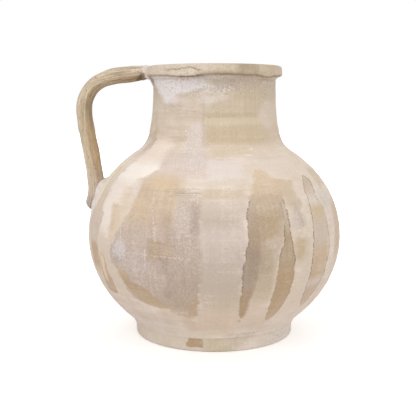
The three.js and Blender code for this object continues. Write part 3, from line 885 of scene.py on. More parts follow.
def makeShape():
    # turns the two edges of a wash, its ends and its wobble into its mask and its dried edge
    tree, given = newGroup("wash shape", [
        "left", "right", "arc", "sides", "height", "softLeft", "softRight",
        "low", "lowFull", "high", "highFull", "tide",
    ], ["mask", "tide"])
    left = given["left"] * given["arc"] + given["sides"]
    right = given["right"] * given["arc"] + given["sides"]
    softLeft, softRight, height = given["softLeft"], given["softRight"], given["height"]
    ends = height.rise(given["low"], given["lowFull"]) * height.rise(given["high"], given["highFull"])
    mask = left.rise(softLeft * -1, softLeft) * right.rise(softRight * -1, softRight) * ends
    # a dried edge lies just inside a sharp side, and a blurred side has none
    inward = left.math("MINIMUM", right + (softRight - softLeft) * 4)
    tide = (inward - 0.7).size().rise(1.2, 0.1) * mask * given["tide"]
    return finishGroup(tree, {"mask": mask, "tide": tide})


def makeLineShape():
    # how much of a straight line lies at a spot, which is aside from its start and above it
    tree, given = newGroup("line shape", [
        "aside", "above", "across", "up", "length", "width", "wobble", "strength",
    ], ["mask"])
    travelled = given["aside"] * given["across"] + given["above"] * given["up"]
    away = given["aside"] * given["up"] - given["above"] * given["across"] + given["wobble"]
    near = away.size().rise(given["width"], given["width"] * 0.2)
    ends = travelled.rise(0, lineTaper) * travelled.rise(given["length"], given["length"] - lineTaper)
    return finishGroup(tree, {"mask": near * ends * given["strength"]})


washShape = makeShape()
lineShape = makeLineShape()


def edgeFields(spot):
    # how far each kind of edge wanders at a spot: its sides, and the height that its ends read
    fields = {}
    for kind, edge in edgeKinds.items():
        sides = sum(spot[name] * amount for name, amount in edge["sides"].items())
        ends = sum(spot[name] * amount for name, amount in edge["ends"].items())
        fields[kind] = (sides, spot["height"] + ends)
    return fields


def runMask(run, spot, field):
    # how much of a wash lies at a spot; the same node also gives how dark its dried edge is there
    angles = [a for _, a in run["left"] + run["right"]]
    centre = sum(angles) / len(angles)
    turn = angleNear(spot, centre).math("MULTIPLY_ADD", 1 / washReach, 0.5 - centre / washReach)

    def edge(points):
        curve = [(h / form["rimTop"], 0.5 + (a - centre) / washReach) for h, a in points]
        return spot["share"].curved(curve)

    settings = {"node_tree": washShape, "label": run["name"]}
    return turn.node("ShaderNodeGroup", settings, {
        "left": turn - edge(run["left"]), "right": edge(run["right"]) - turn,
        "arc": spot["arc"], "sides": field[0], "height": field[1],
        "softLeft": run["soft"][0], "softRight": run["soft"][1],
        "low": run["low"], "lowFull": run["low"] + run["fade"][0],
        "high": run["high"], "highFull": run["high"] - run["fade"][1],
        "tide": run["tide"],
    })


def readTones(run, spot):
    # a wash's one tone, or tones that change with height
    if isinstance(run["tone"], tuple):
        return run["tone"]
    low, high = run["tone"][0][0], run["tone"][-1][0]
    share = spot["height"].math("MULTIPLY_ADD", 1 / (high - low), -low / (high - low))
    return share.toned([((h - low) / (high - low), c) for h, c in run["tone"]])


def laidRun(colour, run, spot, field, worn, bloom):
    # one wash over the clay, with the chalk on it and its dried edge
    mask = runMask(run, spot, field)
    cover = mask * (1 - worn * run["thin"]) * run["strength"]
    colour = colour.mixed(cover, readTones(run, spot))
    if run["chalk"]:
        colour = colour.mixed(mask * bloom * (run["chalk"] * 0.4), tints["chalk"])
    if run["tide"]:
        dried = mask.also("tide") * spot["broken"]
        if run["tideFrom"]:
            start = run["tideFrom"]
            dried = dried * (spot["height"].rise(start - 12, start + 8) * 0.8 + 0.2)
        colour = colour.mixed(dried, tints["driedEdge"])
    return colour, mask


def laidLine(colour, line, spot):
    (startAngle, startHeight), (endAngle, endHeight), width, lineTone, strength = line
    arc = outsideAt((startHeight + endHeight) / 2) * math.pi / 180
    wide, tall = (endAngle - startAngle) * arc, endHeight - startHeight
    length = math.hypot(wide, tall)
    angle = angleNear(spot, (startAngle + endAngle) / 2)
    mask = angle.node("ShaderNodeGroup", {"node_tree": lineShape}, {
        "aside": angle.math("MULTIPLY_ADD", arc, -startAngle * arc),
        "above": spot["height"] - startHeight,
        "across": wide / length, "up": tall / length, "length": length,
        "width": width, "wobble": spot["ragged"] * 0.5, "strength": spot["broken"] * strength,
    })
    return colour.mixed(mask, lineTone)


def potMaterial(name, low, high, streaks=0.45):
    # the washed clay of the pot between two heights
    material, paint = newMaterial(name)
    spot = findSpot(paint)
    place, speck, brush, drag, cloud = [spot[k] for k in ("place", "speck", "brush", "drag", "cloud")]
    colour = spot["share"].toned([(h / form["rimTop"], c) for h, c in bodyTones])
    colour = colour.mixed((cloud + brush * 0.8).rise(-0.04, 0.2) * streaks, tints["light"])
    colour = colour.mixed((brush * 0.8 - cloud).rise(0.0, 0.22) * 0.4, tints["warm"])
    worn = (drag * 0.4 + brush * 0.5 + speck * 0.5 + cloud * 0.7).rise(-0.04, 0.2)
    bloom = (speck + drag * 0.3 + cloud * 0.6).rise(-0.02, 0.24)
    spot["broken"] = (speck + spot["ragged"] * 0.1).rise(-0.12, 0.06)
    fields = edgeFields(spot)
    grit = cloud + 0.35
    for run in runs:
        if run["high"] < low - 4 or run["low"] > high + 4:
            continue
        colour, mask = laidRun(colour, run, spot, fields[run["edge"]], worn, bloom)
        if run["grit"] is not None:
            grit = grit + (run["grit"] - grit) * mask
    for line in lines:
        ends = sorted((line[0][1], line[1][1]))
        if ends[0] < high + 2 and ends[1] > low - 2:
            colour = laidLine(colour, line, spot)
    warp = place.stretched(1, 1, 0.12).grain(2.0, 1, 0.5)
    weft = place.stretched(0.12, 0.12, 1).grain(2.0, 1, 0.5)
    scuff = (warp + weft) * 0.06 + speck * 0.52 + drag * 0.1
    colour = colour.shaded(1 + brush * 0.1 + drag * 0.05 + cloud * 0.08 + speck * 0.06 + scuff * grit)
    pits = (place.grain(4, 2, 0.6) + speck * 0.4).rise(0.2, 0.3)
    colour = colour.mixed(pits * grit * 0.5, tints["pit"])
    if high > form["neckTop"] - 6:
        # fine dark grains under the lip, and pale flecks on the neck
        pepper = (speck + place.grain(0.9, 2, 0.8) * 0.5 + brush * 0.2).rise(0.02, 0.2)
        colour = colour.mixed(pepper * spot["height"].rise(250, 285) * 0.7, tints["pepper"])
        flecks = (speck + cloud * 0.3).rise(-0.06, -0.2) * spot["height"].rise(225, 250)
        colour = colour.mixed(flecks * 0.4, tints["fleck"])
    colour = colour.mixed(paint.stored("inner").rise(0.2, 0.9), tints["inside"])
    height = speck * 0.9 + brush * 0.8 + drag * 0.35 - pits * 0.8
    clayShader(paint, colour, 0.84 + cloud * 0.1, height, 0.4)
    return material


# Lower belly, upper belly and neck: lengths of wall, with a groove below and a tongue above.
# Each is (outline, node, slot, the height it starts at, the seam above and its height, streaks)
walls = [
    ("lower", "lower_belly", "body_clay", form["footTop"], "upper", form["seam"], 0.45),
    ("upper", "upper_belly", "body_clay", form["seam"], "neck", form["shoulder"], 0.45),
    ("neck", "neck", "neck_clay", form["shoulder"], "rim", form["neckTop"], 0.28),
]
for name, node, slot, base, above, height, streaks in walls:
    outside = outlines[name]
    inner = tongue(seams[above], height) + insides[name][::-1] + groove(seams[name], base)
    wallMesh = turnedPiece(outside + inner)
    workWall(wallMesh, name)
    clay = potMaterial(slot, outside[0].y, outside[-1].y, streaks)
    finishPiece(node + "_clay", wallMesh, clay, node)


# Rim coil: a rolled band, lumpy, with a lip that was pressed down on the neck by hand
rim = {
    "lumps": 0.45,
    "lumpSize": 11,
    "fine": 0.18,
    "fineSize": 4,
    "lipDrop": 1.3,
    "lipSize": 6,
    "lipBlur": 3.2,
    # where the lip hangs lower: (angle, how far, how wide in degrees)
    "flaps": [(-26, 2.3, 16), (26, 0.9, 5), (50, 2.4, 10), (118, 1.6, 8), (-150, 1.9, 12),
              (-100, 1.2, 9)],
    # the crack in the side, as (angle, height)
    "crack": [(-60, 293.6), (-46, 294), (-37, 294.4), (-30, 294.5), (-25, 295.3), (-21, 296),
              (-18, 294.9), (-13, 292.9), (-7, 291.6)],
    "crackFloor": 280,
    # tones of the painted shadow at the lip's edge, and of the stain with painted shadow under the lip
    "lipShadowTone": (128, 106, 80),
    "stainAndShadowTone": (142, 118, 94),
}


def angleAway(angle, centre):
    return (angle - centre + 180) % 360 - 180


def lipDrop(angle, x, y):
    drop = abs(lump(x, y, 7, rim["lipSize"])) * rim["lipDrop"]
    for centre, depth, width in rim["flaps"]:
        drop += depth * hump(angleAway(angle, centre), width)
    return drop


def rimProfile():
    top, topRound = form["rimTop"], form["topRound"]
    inner = bezier([(mouth + topRound, top), (mouth, top), (mouth, top - topRound)], 6)
    inner += bezier([(mouth, top - topRound), (mouth, form["neckTop"])], 6)[1:]
    flat = bezier([outlines["rim"][-1], inner[0]], 4)[1:-1]
    return outlines["rim"] + flat + inner + groove(seams["rim"], form["neckTop"])


def workRim(bm):
    # hand relief, and a lip that hangs lower in places; "fromLip" is the height over its edge
    inner = bm.verts.layers.float.new("inner")
    fromLip = bm.verts.layers.float.new("fromLip")
    neck, side, lip = form["neck"], form["rim"], form["lip"]
    for vert in bm.verts:
        x, y, z = vert.co / mm
        radius = math.hypot(x, y)
        vert[inner] = clamped((side - 7 - radius) / hand["skin"])
        vert[fromLip] = z - lip
        if radius > neck + 0.3 and z < form["rimTop"] - 0.5:
            proud = lump(x, y, z, rim["lumpSize"]) * rim["lumps"]
            proud += lump(x, y, z * 2, rim["fineSize"]) * rim["fine"]
            out = min(1, (radius - neck) / (side - neck - 2))
            pushed(vert, (proud + bodyRelief(x, y, z) * 0.5) * out, 0)
            near = out if z < lip else hump(z - lip, rim["lipBlur"])
            vert.co.z -= lipDrop(math.degrees(math.atan2(x, -y)), x, y) * near * mm
        elif radius < mouth + 0.5:
            pushed(vert, -insideRelief(x, y, z) * 0.4, 0)


def rimMaterial():
    material, paint = newMaterial("rim_clay")
    spot = findSpot(paint)
    place, speck, brush, cloud, angle = [spot[k] for k in ("place", "speck", "brush", "cloud", "angle")]
    blotch = place.grain(12, 3, 0.6)
    colour = (place.stretched(1, 1, 2).grain(18, 3, 0.6) * 1.8 + 0.5).toned([
        (0, (199, 181, 157)), (0.45, (214, 198, 175)), (0.8, (224, 209, 192)),
    ])
    # tones round the band: pink at the left, tan in the middle, dark and speckled right of it
    pink = angle.rise(10, -20) * (cloud + 0.8)
    colour = colour.mixed(pink * 0.6, (227, 211, 196))
    middle = angle.rise(-12, 4) * angle.rise(16, 8) * (cloud + 0.7)
    colour = colour.mixed(middle * 0.5, (202, 181, 156))
    colour = colour.mixed(angle.rise(6, 26) * angle.rise(84, 70) * 0.55, (196, 178, 152))
    side = angle.rise(14, 22) * angle.rise(40, 34) * (blotch + 0.6)
    rough = (speck * 1.4 + blotch * 0.6 + side * 0.16).rise(0.0, 0.2)
    colour = colour.mixed(side * 0.85, (174, 156, 132))
    colour = colour.mixed(rough * 0.42, (152, 134, 112))
    # the crack, with a scab of clay under it
    share = (angle + 90) / 180
    floor, tall = rim["crackFloor"], form["rimTop"] - rim["crackFloor"]
    middle = share.curved([((a + 90) / 180, (h - floor) / tall) for a, h in rim["crack"]]) * tall + floor
    across = spot["height"] - middle + spot["ragged"] * 0.9 + speck * 2.4
    broken = (speck + spot["wander"] * 0.1 + 0.35).rise(0.1, 0.4)
    live = angle.rise(-52, -32) * angle.rise(-6, -13) * broken
    crack = across.size().rise(1.5, 0.1) * live
    scab = across.rise(-3.4, -0.4) * across.rise(1.2, 0) * live * (speck + 0.5)
    colour = colour.mixed(crack * 0.6 + scab * 0.2, (150, 130, 108))
    # the underside; painted shadow along the lip's edge; painted shade on the band just above it; and a
    # brown stain round the lip's edge, darkened with painted shadow
    level = paint.stored("fromLip") + spot["ragged"] * 0.25
    below = share.toned([
        (0.1, (222, 212, 206)), (0.45, (210, 198, 187)),
        (0.62, (200, 184, 166)), (0.9, (206, 190, 172)),
    ])
    below = below.mixed((speck * 1.2 + brush * 0.6).rise(-0.02, 0.16) * 0.55, (150, 134, 118))
    colour = colour.mixed(level.rise(0.1, -0.5), below)
    # painted shadow along the lip's edge, where it hangs over the neck
    line = level.size().rise(1.5, 0.2) * (spot["wander"] * 0.25 + speck * 1.5 + 0.75)
    colour = colour.mixed(line * 0.75, rim["lipShadowTone"])
    # painted shade on the band's lower part, just above the lip
    lowBandShade = level.rise(4.6, 1.2) * level.rise(-0.4, 0.6) * angle.rise(-20, -4) * angle.rise(36, 22)
    colour = colour.mixed(lowBandShade * 0.55, (164, 143, 117))
    # a brown stain under the lip, made darker as painted shadow
    stain = level.rise(-3.2, -1.4) * level.rise(1.2, -0.2) * angle.rise(-37, -30) * angle.rise(-4, -16)
    colour = colour.mixed(stain * (speck + 0.85), rim["stainAndShadowTone"])
    colour = colour.shaded(1 + speck * 0.3 + blotch * 0.14)
    colour = colour.mixed(paint.stored("inner").rise(0.2, 0.9), tints["inside"])
    height = speck * 0.8 + blotch * 0.6 - crack * 0.7 - line * 0.8
    clayShader(paint, colour, 0.86 + blotch * 0.1, height, 0.6)
    return material


rimMesh = turnedPiece(rimProfile())
workRim(rimMesh)
finishPiece("rim_coil_clay", rimMesh, rimMaterial(), "rim_coil")


# Foot disc: turned, flat beneath, with a spiral left by the fingers on the floor inside
footHand = {
    "spiral": 0.35,
    "pitch": 7,
    "rings": 26,
    "outerFade": 8,
    "innerFade": 4,
}


def footProfile():
    top = form["footTop"]
    floor = bezier([(seams["lower"] - form["tongue"] / 2, top), (0, top)], footHand["rings"])[1:]
    return [Vector((0, 0))] + outlines["foot"] + tongue(seams["lower"], top) + floor


def workFoot(bm):
    inner = bm.verts.layers.float.new("inner")
    floorEdge = seams["lower"] - form["tongue"]
    for vert in bm.verts:
        x, y, z = vert.co / mm
        radius = math.hypot(x, y)
        if z > form["footTop"] - 0.1 and radius < floorEdge:
            vert[inner] = 1
            turn = math.atan2(y, x) / (2 * math.pi)
            spiral = math.sin(2 * math.pi * (radius / footHand["pitch"] + turn))
            edge = min(1, (floorEdge - radius) / footHand["outerFade"])
            edge *= min(1, radius / footHand["innerFade"])
            vert.co.z += (spiral - 1) * footHand["spiral"] * edge * mm
        elif radius > form["foot"] - 3 and z > 0.5:
            pushed(vert, bodyRelief(x, y, z) * min(1, z / 4), 0)


footMesh = turnedPiece(footProfile(), closed=False)
workFoot(footMesh)
footClay = potMaterial("foot_clay", 0, form["footTop"])
finishPiece("foot_disc_clay", footMesh, footClay, "foot_disc")


# Coils pressed over the seams inside, dented by the fingers
coil = {
    "gap": 0.6,
    "seamHalf": 6,
    "seamDepth": 4.2,
    "floorHeight": 9,
    "floorDepth": 9.5,
    "floorHollow": (0.3, 3),
    "dent": 0.5,
    "lumps": 0.6,
    "lumpSize": 12,
    "press": 0.7,
}


def insideMaterial():
    material, paint = newMaterial("inside_clay")
    place = findSpot(paint)["place"]
    cloud = place.grain(14, 3, 0.6)
    speck = place.grain(1.4, 2, 0.7)
    colour = (cloud + 0.5).toned([(0.2, (184, 163, 136)), (0.8, (208, 189, 163))])
    colour = colour.mixed((speck + cloud * 0.3).rise(0.1, 0.3) * 0.4, (150, 128, 102))
    clayShader(paint, colour, 0.88 + cloud * 0.1, cloud * 1.5 + speck, 0.5)
    return material


def seamCoilProfile():
    middle = form["seam"] + form["tongueHeight"] / 2
    half = coil["seamHalf"]
    back = min(radiusAt(insides["lower"], middle - half), radiusAt(insides["upper"], middle + half))
    back -= form["slip"] + coil["gap"]
    turns = [math.pi / 2 + math.pi * i / 10 for i in range(11)]
    return [Vector((back + coil["seamDepth"] * math.cos(a), middle + half * math.sin(a))) for a in turns]


def floorCoilProfile():
    floor = form["footTop"]
    hollowIn, hollowUp = coil["floorHollow"]
    heights = [floor + coil["floorHeight"] * i / 4 for i in range(5)]
    gap = form["slip"] + coil["gap"]
    back = [Vector((radiusAt(insides["lower"], h) - gap, h)) for h in heights]
    corner = (back[0].x - hollowIn, floor + hollowUp)
    toe = (back[0].x - coil["floorDepth"], floor + 0.1)
    return back + bezier([back[-1], corner, toe], 10)[1:]


def coilPiece(name, profile, dents):
    bm = turnedPiece(profile)
    back = max(p.x for p in profile)
    for vert in bm.verts:
        x, y, z = vert.co / mm
        depth = back - math.hypot(x, y)
        if depth > 1:
            dent = coil["dent"] * (1 + math.cos(math.atan2(y, x) * dents))
            dent += lump(x, y, z, coil["lumpSize"]) * coil["lumps"]
            pushed(vert, dent * min(1, depth / 3) * coil["press"], 0)
    finishPiece(name + "_clay", bm, coilClay, name)


coilClay = insideMaterial()
coilPiece("seam_coil", seamCoilProfile(), 44)
coilPiece("floor_coil", floorCoilProfile(), 27)


# Handle: a pulled strap swept along its middle line, with finger grooves along its length.
# Round the strap, 0 degrees is the side next to the pot and 180 the outer side
handle = {
    "arm": [(-75.2, 293.5), (-94.5, 289.4), (-145.9, 296.3), (-145.9, 250.4)],
    "leg": [(-145.9, 250.4), (-145.9, 225.5), (-128.6, 174.3), (-136.7, 148)],
    "sides": 80,
    "armSteps": 76,
    "legSteps": 92,
    "toeSteps": 9,
    "sunk": 2.5,
    "thickness": 18,
    "rimThickness": 15.4,
    "bendThickness": 16.4,
    "width": 24,
    "toeWidth": 29,
    "toeRound": 9,
    "oval": 1.9,
    # grooves along it: (degrees round the strap, depth, how wide in degrees)
    "grooves": [(-140, 0.5, 7), (-118, 0.45, 6), (-98, 0.35, 5), (-56, 1.4, 13), (-44, 0.5, 4),
                (-30, 0.4, 6), (28, 0.6, 8), (60, 1.2, 16), (95, 0.5, 7), (130, 0.5, 8)],
    "ridge": (-75, 0.7, 7),
    "drift": 9,
    "scratches": 0.32,
    "lumps": 0.7,
    "length": 235,
    "carvedTo": 92,
    "coped": 296,
}


def station(place, ahead, thickness, width):
    return {"place": place, "ahead": ahead, "thickness": thickness / 2, "width": width / 2}


def handleStations():
    full, width, toeWidth = handle["thickness"], handle["width"], handle["toeWidth"]
    start, ahead = along(handle["arm"], 0)
    made = [station(start - ahead * handle["sunk"], ahead, handle["rimThickness"], width)]
    for i in range(handle["armSteps"]):
        t = i / handle["armSteps"]
        bent = between(full, handle["bendThickness"], math.sin(math.pi * t * t) ** 2)
        thickness = between(handle["rimThickness"], bent, min(1, 4 * t))
        made.append(station(*along(handle["arm"], t), thickness, width))
    for i in range(handle["legSteps"] + 1):
        t = i / handle["legSteps"]
        made.append(station(*along(handle["leg"], t), full, between(width, toeWidth, eased(2 * t - 1))))
    place, ahead = along(handle["leg"], 1)
    for i in range(handle["toeSteps"]):
        turn = (i + 1) / handle["toeSteps"] * math.pi * 0.49
        tip = place + ahead * handle["toeRound"] * math.sin(turn)
        made.append(station(tip, ahead, full * math.cos(turn), toeWidth * math.cos(turn)))
    return made


def sweptPiece(stations, sides, oval, work):
    # an oval ring drawn along its stations; work gives how far a point stands out
    bm = bmesh.new()
    around = bm.verts.layers.float.new("around")
    length = bm.verts.layers.float.new("length")
    bmesh.ops.create_circle(bm, segments=sides, radius=1)
    for vert in bm.verts:
        vert[around] = math.atan2(vert.co.y, vert.co.x)
    ring = bm.verts[:]
    edges = bm.edges[:]
    travelled = 0
    for i, spot in enumerate(stations):
        place, ahead = spot["place"], spot["ahead"]
        if i:
            travelled += (place - stations[i - 1]["place"]).length
            grown = bmesh.ops.extrude_edge_only(bm, edges=edges)["geom"]
            ring = [g for g in grown if isinstance(g, bmesh.types.BMVert)]
            edges = [g for g in grown if isinstance(g, bmesh.types.BMEdge)]
        for vert in ring:
            angle = vert[around]
            c, s = math.cos(angle), math.sin(angle)
            proud = work(travelled, angle)
            out = (spot["thickness"] * abs(c) ** (2 / oval) + abs(c) * proud) * math.copysign(1, c)
            side = (spot["width"] * abs(s) ** (2 / oval) + abs(s) * proud) * math.copysign(1, s)
            vert.co = Vector((place.x - ahead.y * out, side, place.y + ahead.x * out)) * mm
            vert[length] = travelled
    bmesh.ops.holes_fill(bm, edges=bm.edges[:], sides=0)
    bmesh.ops.recalc_face_normals(bm, faces=bm.faces[:])
    return bm


def keepOffPot(bm, gap, highest):
    # copes a piece to the pot: what would be inside the clay moves out to its face
    for vert in bm.verts:
        x, y, z = vert.co / mm
        face = outsideAt(min(z, highest)) + bodyRelief(x, y, z) + gap
        if math.hypot(x, y) < face and abs(y) < face:
            vert.co.x = -math.sqrt(face * face - y * y) * mm


def handleRelief(length, angle):
    degrees = math.degrees(angle) - lump(length / 45, 3, 0, 1) * handle["drift"]
    c, s = math.cos(angle), math.sin(angle)
    fade = eased(length / 18) * eased((handle["length"] - length) / 30)
    carved = fade * (1 - 0.72 * eased((length - handle["carvedTo"]) / 50))
    centre, height, width = handle["ridge"]
    relief = height * hump(angleAway(degrees, centre), width)
    for centre, depth, width in handle["grooves"]:
        live = 0.65 + lump(length / 22, centre / 10, 1, 1) * 1.1
        relief -= depth * max(0, live) * hump(angleAway(degrees, centre), width)
    fine = lump(c * 5, s * 5, length / 30, 1) + lump(c * 11, s * 11, length / 12, 1) * 0.6
    lumps = lump(c * 1.2, s * 1.2, length / 16, 1) * handle["lumps"]
    return relief * carved + fine * handle["scratches"] * fade + lumps


def handleMaterial():
    # c is 1 on the side next to the pot and under the arm, and -1 on the outer side
    material, paint = newMaterial("handle_clay")
    spot = findSpot(paint)
    place = spot["place"]
    around, length = paint.stored("around"), paint.stored("length")
    c, s = around.math("COSINE"), around.math("SINE")
    strand = paint.node("ShaderNodeCombineXYZ", None, {0: c * 10, 1: s * 10, 2: length / 9})
    fibre = strand.grain(1.4, 3, 0.65)
    band = strand.grain(5, 2, 0.5)
    speck = place.grain(2.4, 2, 0.75)
    colour = (band * 1.5 + fibre * 0.9 + 0.5).toned([
        (0.0, (184, 161, 130)), (0.45, (211, 191, 163)), (0.9, (225, 208, 184)),
    ])
    # the arm: pale at the joint, grey on top, painted shade under it, with a light crease and furrows
    onArm = length.rise(112, 70)
    joint = length.rise(32, 10) * c.rise(0.2, -0.3)
    colour = colour.mixed(joint * 0.7, (233, 214, 199))
    smoky = (strand.stretched(1, 1, 0.6).grain(3, 3, 0.65) + c * 0.2).rise(-0.04, 0.12)
    colour = colour.mixed(smoky * c.rise(-0.5, -0.05) * onArm * 0.55, (172, 152, 124))
    # painted shade under the arm, deepest near the rim
    under = (c + band * 0.5 + speck * 0.9 + fibre * 0.4).rise(0.2, 0.55) * onArm
    colour = colour.mixed(under * (0.1 + length.rise(46, 16) * 0.6), (166, 142, 110))
    crease = (c - 0.22 + band * 0.4).size().rise(0.1, 0.02) * length.rise(14, 30) * length.rise(110, 90)
    colour = colour.mixed(crease * 0.5, (230, 216, 186))
    furrow = strand.stretched(1, 1, 0.4).grain(2.2, 2, 0.6).rise(0.0, 0.14) * c.rise(0.1, 0.4) * onArm
    colour = colour.mixed(furrow * 0.5, (128, 108, 78))
    # the bend and the leg: painted shade on the inner side, painted light on the outer side, and greyer
    # and smeared towards the toe
    # painted shade on the inner side of the bend
    bend = length.rise(50, 85) * length.rise(165, 120) * c.rise(0.35, 0.8)
    colour = colour.mixed(bend * 0.6, (146, 126, 92))
    # painted shade on the inner side of the leg
    legInnerShade = length.rise(90, 130) * (c + band * 0.5).rise(-0.45, 0.5)
    colour = colour.mixed(legInnerShade * 0.65, (193, 166, 131))
    # painted light on the outer side of the leg
    legOuterLight = length.rise(70, 110) * (c + band * 0.3).rise(-0.5, -0.85)
    colour = colour.mixed(legOuterLight * 0.6, (226, 208, 194))
    # painted shadow in the recess where the strap meets the rim
    recessShadow = (length - c * 8).rise(10, 5) * (c + band * 0.3).rise(-0.15, 0.3)
    colour = colour.mixed(recessShadow * 0.8, (108, 90, 68))
    lowLeg = length.rise(150, 178) * (c + band * 0.4).rise(-0.7, 0.2)
    colour = colour.mixed(lowLeg * 0.55, (214, 198, 189))
    toe = (spot["height"] + speck * 14 - place.split() * 0.6).rise(250, 228)
    colour = colour.mixed(toe * 0.75, (182, 172, 160))
    smear = length.rise(180, 196) * (c + speck * 1.6 + fibre * 0.8).rise(-0.05, 0.3)
    colour = colour.mixed(smear * 0.8, (228, 217, 211))
    # the grain all over
    scored = strand.stretched(1, 1, 0.3).grain(0.9, 3, 0.7).rise(0.03, 0.16)
    colour = colour.mixed(scored * (band + 0.75) * 0.45, (154, 130, 99))
    pores = (speck + fibre * 0.4).rise(0.1, 0.2)
    colour = colour.mixed(pores * 0.55, (128, 105, 78))
    colour = colour.shaded(1.02 + fibre * 0.24 + speck * 0.3)
    height = fibre * 1.2 + speck * 0.6 - pores * 0.8 - scored * 0.6
    clayShader(paint, colour, 0.82 + band * 0.15, height, 0.6)
    return material


handleMesh = sweptPiece(handleStations(), handle["sides"], handle["oval"], handleRelief)
keepOffPot(handleMesh, 0.15, handle["coped"])
finishPiece("handle_clay_strap", handleMesh, handleMaterial(), "handle")


# Luting clay: pressed in under the arm at the rim, and round the toe on the belly
luting = {
    "gap": 0.05,
    "webSteps": 30,
    "webReach": 9.5,
    "webDepth": 9,
    "webTop": 300.6,
    "webWidth": 25.5,
    "webOval": 2.4,
    "webSides": 56,
    "webCoped": 299.4,
    "collarSteps": 8,
    "collar": 2.4,
    "collarProud": 0.2,
    "toeSteps": 48,
    "toeSide": 14,
    "toeProud": 9.3,
    "toeSwell": 0.24,
    "toeAbove": 29.5,
    "toeBelow": 17,
    "toeOval": 1.5,
    "toeSides": 64,
    "press": 1.1,
    "pinch": 0.4,
}


def lutingMaterial():
    material, paint = newMaterial("luting_clay")
    spot = findSpot(paint)
    place, height = spot["place"], spot["height"]
    cloud = place.grain(7, 3, 0.6)
    speck = place.grain(1.3, 3, 0.7)
    colour = (cloud * 1.3 + speck * 0.5 + 0.5).toned([
        (0.1, (212, 198, 186)), (0.45, (236, 224, 215)), (0.85, (246, 237, 231)),
    ])
    colour = colour.mixed(height.rise(270, 285) * 0.5, (226, 207, 192))
    # painted shadow on the web's outer part, under the arm
    recessShadow = height.rise(294.5, 291) * height.rise(276, 284) * place.split().rise(-75.5, -78)
    colour = colour.mixed(recessShadow * 0.8, (120, 100, 78))
    colour = colour.mixed((speck - cloud * 0.5).rise(0.12, 0.26) * 0.4, (160, 146, 134))
    clayShader(paint, colour, 0.9 + cloud * 0.08, cloud * 1.5 + speck, 0.7)
    return material


def lutingRelief(length, angle):
    c, s = math.cos(angle), math.sin(angle)
    press = lump(c * 2.4, s * 2.4, length / 7, 1) * luting["press"]
    return press + lump(c * 7, s * 7, length / 3, 1) * luting["pinch"]


def rimPadStations():
    # out from the neck: a web rounded under the arm, whose upper part is a collar at the rim
    out = Vector((-1, 0))
    made = []
    arm, _ = along(handle["arm"], 0)
    under = arm.y - handle["rimThickness"] / 2
    for i in range(luting["webSteps"] + 1):
        turn = i / luting["webSteps"] * math.pi / 2
        x = -form["neck"] + 0.5 - luting["webReach"] * (1 - math.cos(turn))
        bottom = under + 0.6 - luting["webDepth"] * (1 - math.sin(turn))
        middle, tall = (luting["webTop"] + bottom) / 2, luting["webTop"] - bottom
        made.append(station(Vector((x, middle)), out, tall, luting["webWidth"]))
    edge = made[-1]["place"].x
    for i in range(1, luting["collarSteps"] + 1):
        turn = i / luting["collarSteps"] * math.pi / 2
        spot = Vector((edge - luting["collar"] * math.sin(turn), bezierPoint(handle["arm"], 0.02 * i).y))
        proud = 2 * luting["collarProud"] * (2.2 * math.cos(turn) - 1.2)
        made.append(station(spot, out, handle["rimThickness"] + proud, handle["width"] + proud))
    return made


def toePadStations():
    # down the belly behind the strap: a bank that is thick at the crotch and thins to the toe
    made = []
    toe = handle["leg"][-1][1]
    top, bottom = toe + luting["toeAbove"], toe - luting["toeBelow"]
    width = handle["toeWidth"] + 2 * luting["toeSide"]
    for i in range(luting["toeSteps"] + 1):
        share = i / luting["toeSteps"]
        height = between(top, bottom, share)
        ahead = Vector((-tiltAt(height), 1)).normalized() * -1
        proud = luting["toeProud"] * eased(share / luting["toeSwell"]) * (1 - share) ** 1.5 + 0.1
        full = math.sin(math.pi * min(0.98, max(0.02, share))) ** 0.5
        made.append(station(Vector((-outsideAt(height), height)), ahead, 2 * proud, width * full))
    return made


def wrapRound(bm):
    # bends a flat pad round the pot
    for vert in bm.verts:
        y, face = vert.co.y / mm, outsideAt(vert.co.z / mm)
        vert.co.x += (face - math.sqrt(face * face - y * y)) * mm


lutingClay = lutingMaterial()
rimPad = sweptPiece(rimPadStations(), luting["webSides"], luting["webOval"], lutingRelief)
keepOffPot(rimPad, luting["gap"], luting["webCoped"])
finishPiece("handle_rim_luting_clay", rimPad, lutingClay, "handle_rim_luting")
toePad = sweptPiece(toePadStations(), luting["toeSides"], luting["toeOval"], lutingRelief)
wrapRound(toePad)
keepOffPot(toePad, luting["gap"], handle["coped"])
finishPiece("handle_belly_luting_clay", toePad, lutingClay, "handle_belly_luting")


# Studio: camera, lamps, floor and sky. The camera is in metres, as the lamps and the floor are
camera = {
    "place": (-0.007, -0.8569, 0.2597),
    "lookDown": 7.9,
    "lens": 65.5,
    "sensor": 36,
    "clipEnd": 50,
}
light = {
    "sky": 0.75,
    "aim": (0, 0, 0.14),
    "lamps": [
        {"name": "key", "place": (-1.0, -1.4, 1.6), "size": 1.3, "power": 8.8},
        {"name": "right", "place": (1.6, -1.2, 0.9), "size": 1.4, "power": 4.9},
        {"name": "front", "place": (0.1, -2.2, 0.35), "size": 1.2, "power": 5.9},
        {"name": "back", "place": (0.3, 1.6, 1.4), "size": 1.2, "power": 6.0},
    ],
}
ground = {
    "radius": 6,
    "tone": 0.86,
    "glow": 0.36,
    "farGlow": 0.6,
    "near": 0.25,
    "far": 1.4,
}


def addObject(name, data):
    made = bpy.data.objects.new(name, data)
    bpy.context.scene.collection.objects.link(made)
    return made


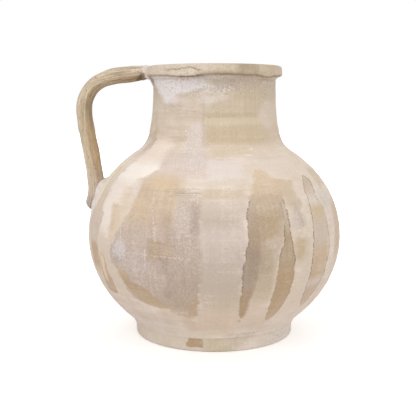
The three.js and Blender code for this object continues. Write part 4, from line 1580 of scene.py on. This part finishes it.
def addCamera():
    data = bpy.data.cameras.new("view")
    data.lens = camera["lens"]
    data.sensor_width = camera["sensor"]
    data.clip_end = camera["clipEnd"]
    taken = addObject("view", data)
    taken.location = camera["place"]
    taken.rotation_euler = (math.radians(90 - camera["lookDown"]), 0, 0)
    bpy.context.scene.camera = taken


def addLamps():
    for lamp in light["lamps"]:
        data = bpy.data.lights.new(lamp["name"], "AREA")
        data.size = lamp["size"]
        data.energy = lamp["power"]
        made = addObject(lamp["name"], data)
        made.location = lamp["place"]
        made.rotation_euler = (Vector(light["aim"]) - made.location).to_track_quat("-Z", "Y").to_euler()


def seenDirectly(paint):
    # 1 for what the camera sees, and for what it sees in a gloss or through glass
    path = paint.node("ShaderNodeLightPath")
    gloss, through = path.also("Is Glossy Ray"), path.also("Is Transmission Ray")
    return path.math("MAXIMUM", gloss).math("MAXIMUM", through)


def addSky():
    # white where it is seen, and weaker as a light
    world = bpy.data.worlds.new("sky")
    world.use_nodes = True
    world.node_tree.nodes.clear()
    sky = Wire(world.node_tree)
    strength = seenDirectly(sky) * (1 - light["sky"]) + light["sky"]
    back = {"Color": (1, 1, 1, 1), "Strength": strength}
    sky.node("ShaderNodeBackground", None, back).finish("ShaderNodeOutputWorld")
    bpy.context.scene.world = world


def addFloor():
    # pale cloth that keeps the vase's shadow, with a glow that is white where it is seen far off
    bm = bmesh.new()
    bmesh.ops.create_circle(bm, cap_ends=True, segments=96, radius=ground["radius"])
    mesh = bpy.data.meshes.new("floor")
    bm.to_mesh(mesh)
    bm.free()
    material, paint = newMaterial("floor")
    seen = seenDirectly(paint)
    cloth = paint.node("ShaderNodeBsdfDiffuse", None, {"Color": (ground["tone"],) * 3 + (1,)})
    place = paint.node("ShaderNodeTexCoord", output=3)
    away = place.node("ShaderNodeVectorMath", {"operation": "LENGTH"}, {0: place}, output=1)
    extra = away.rise(ground["near"], ground["far"]) * ground["farGlow"] + ground["glow"]
    glow = paint.node("ShaderNodeEmission", None, {"Color": (1, 1, 1, 1), "Strength": seen * extra})
    paint.node("ShaderNodeAddShader", None, {0: cloth, 1: glow}).finish()
    mesh.materials.append(material)
    floor = addObject("floor", mesh)


addCamera()
addLamps()
addSky()
addFloor()
bpy.context.scene.view_settings.view_transform = "Standard"
print("studio set")
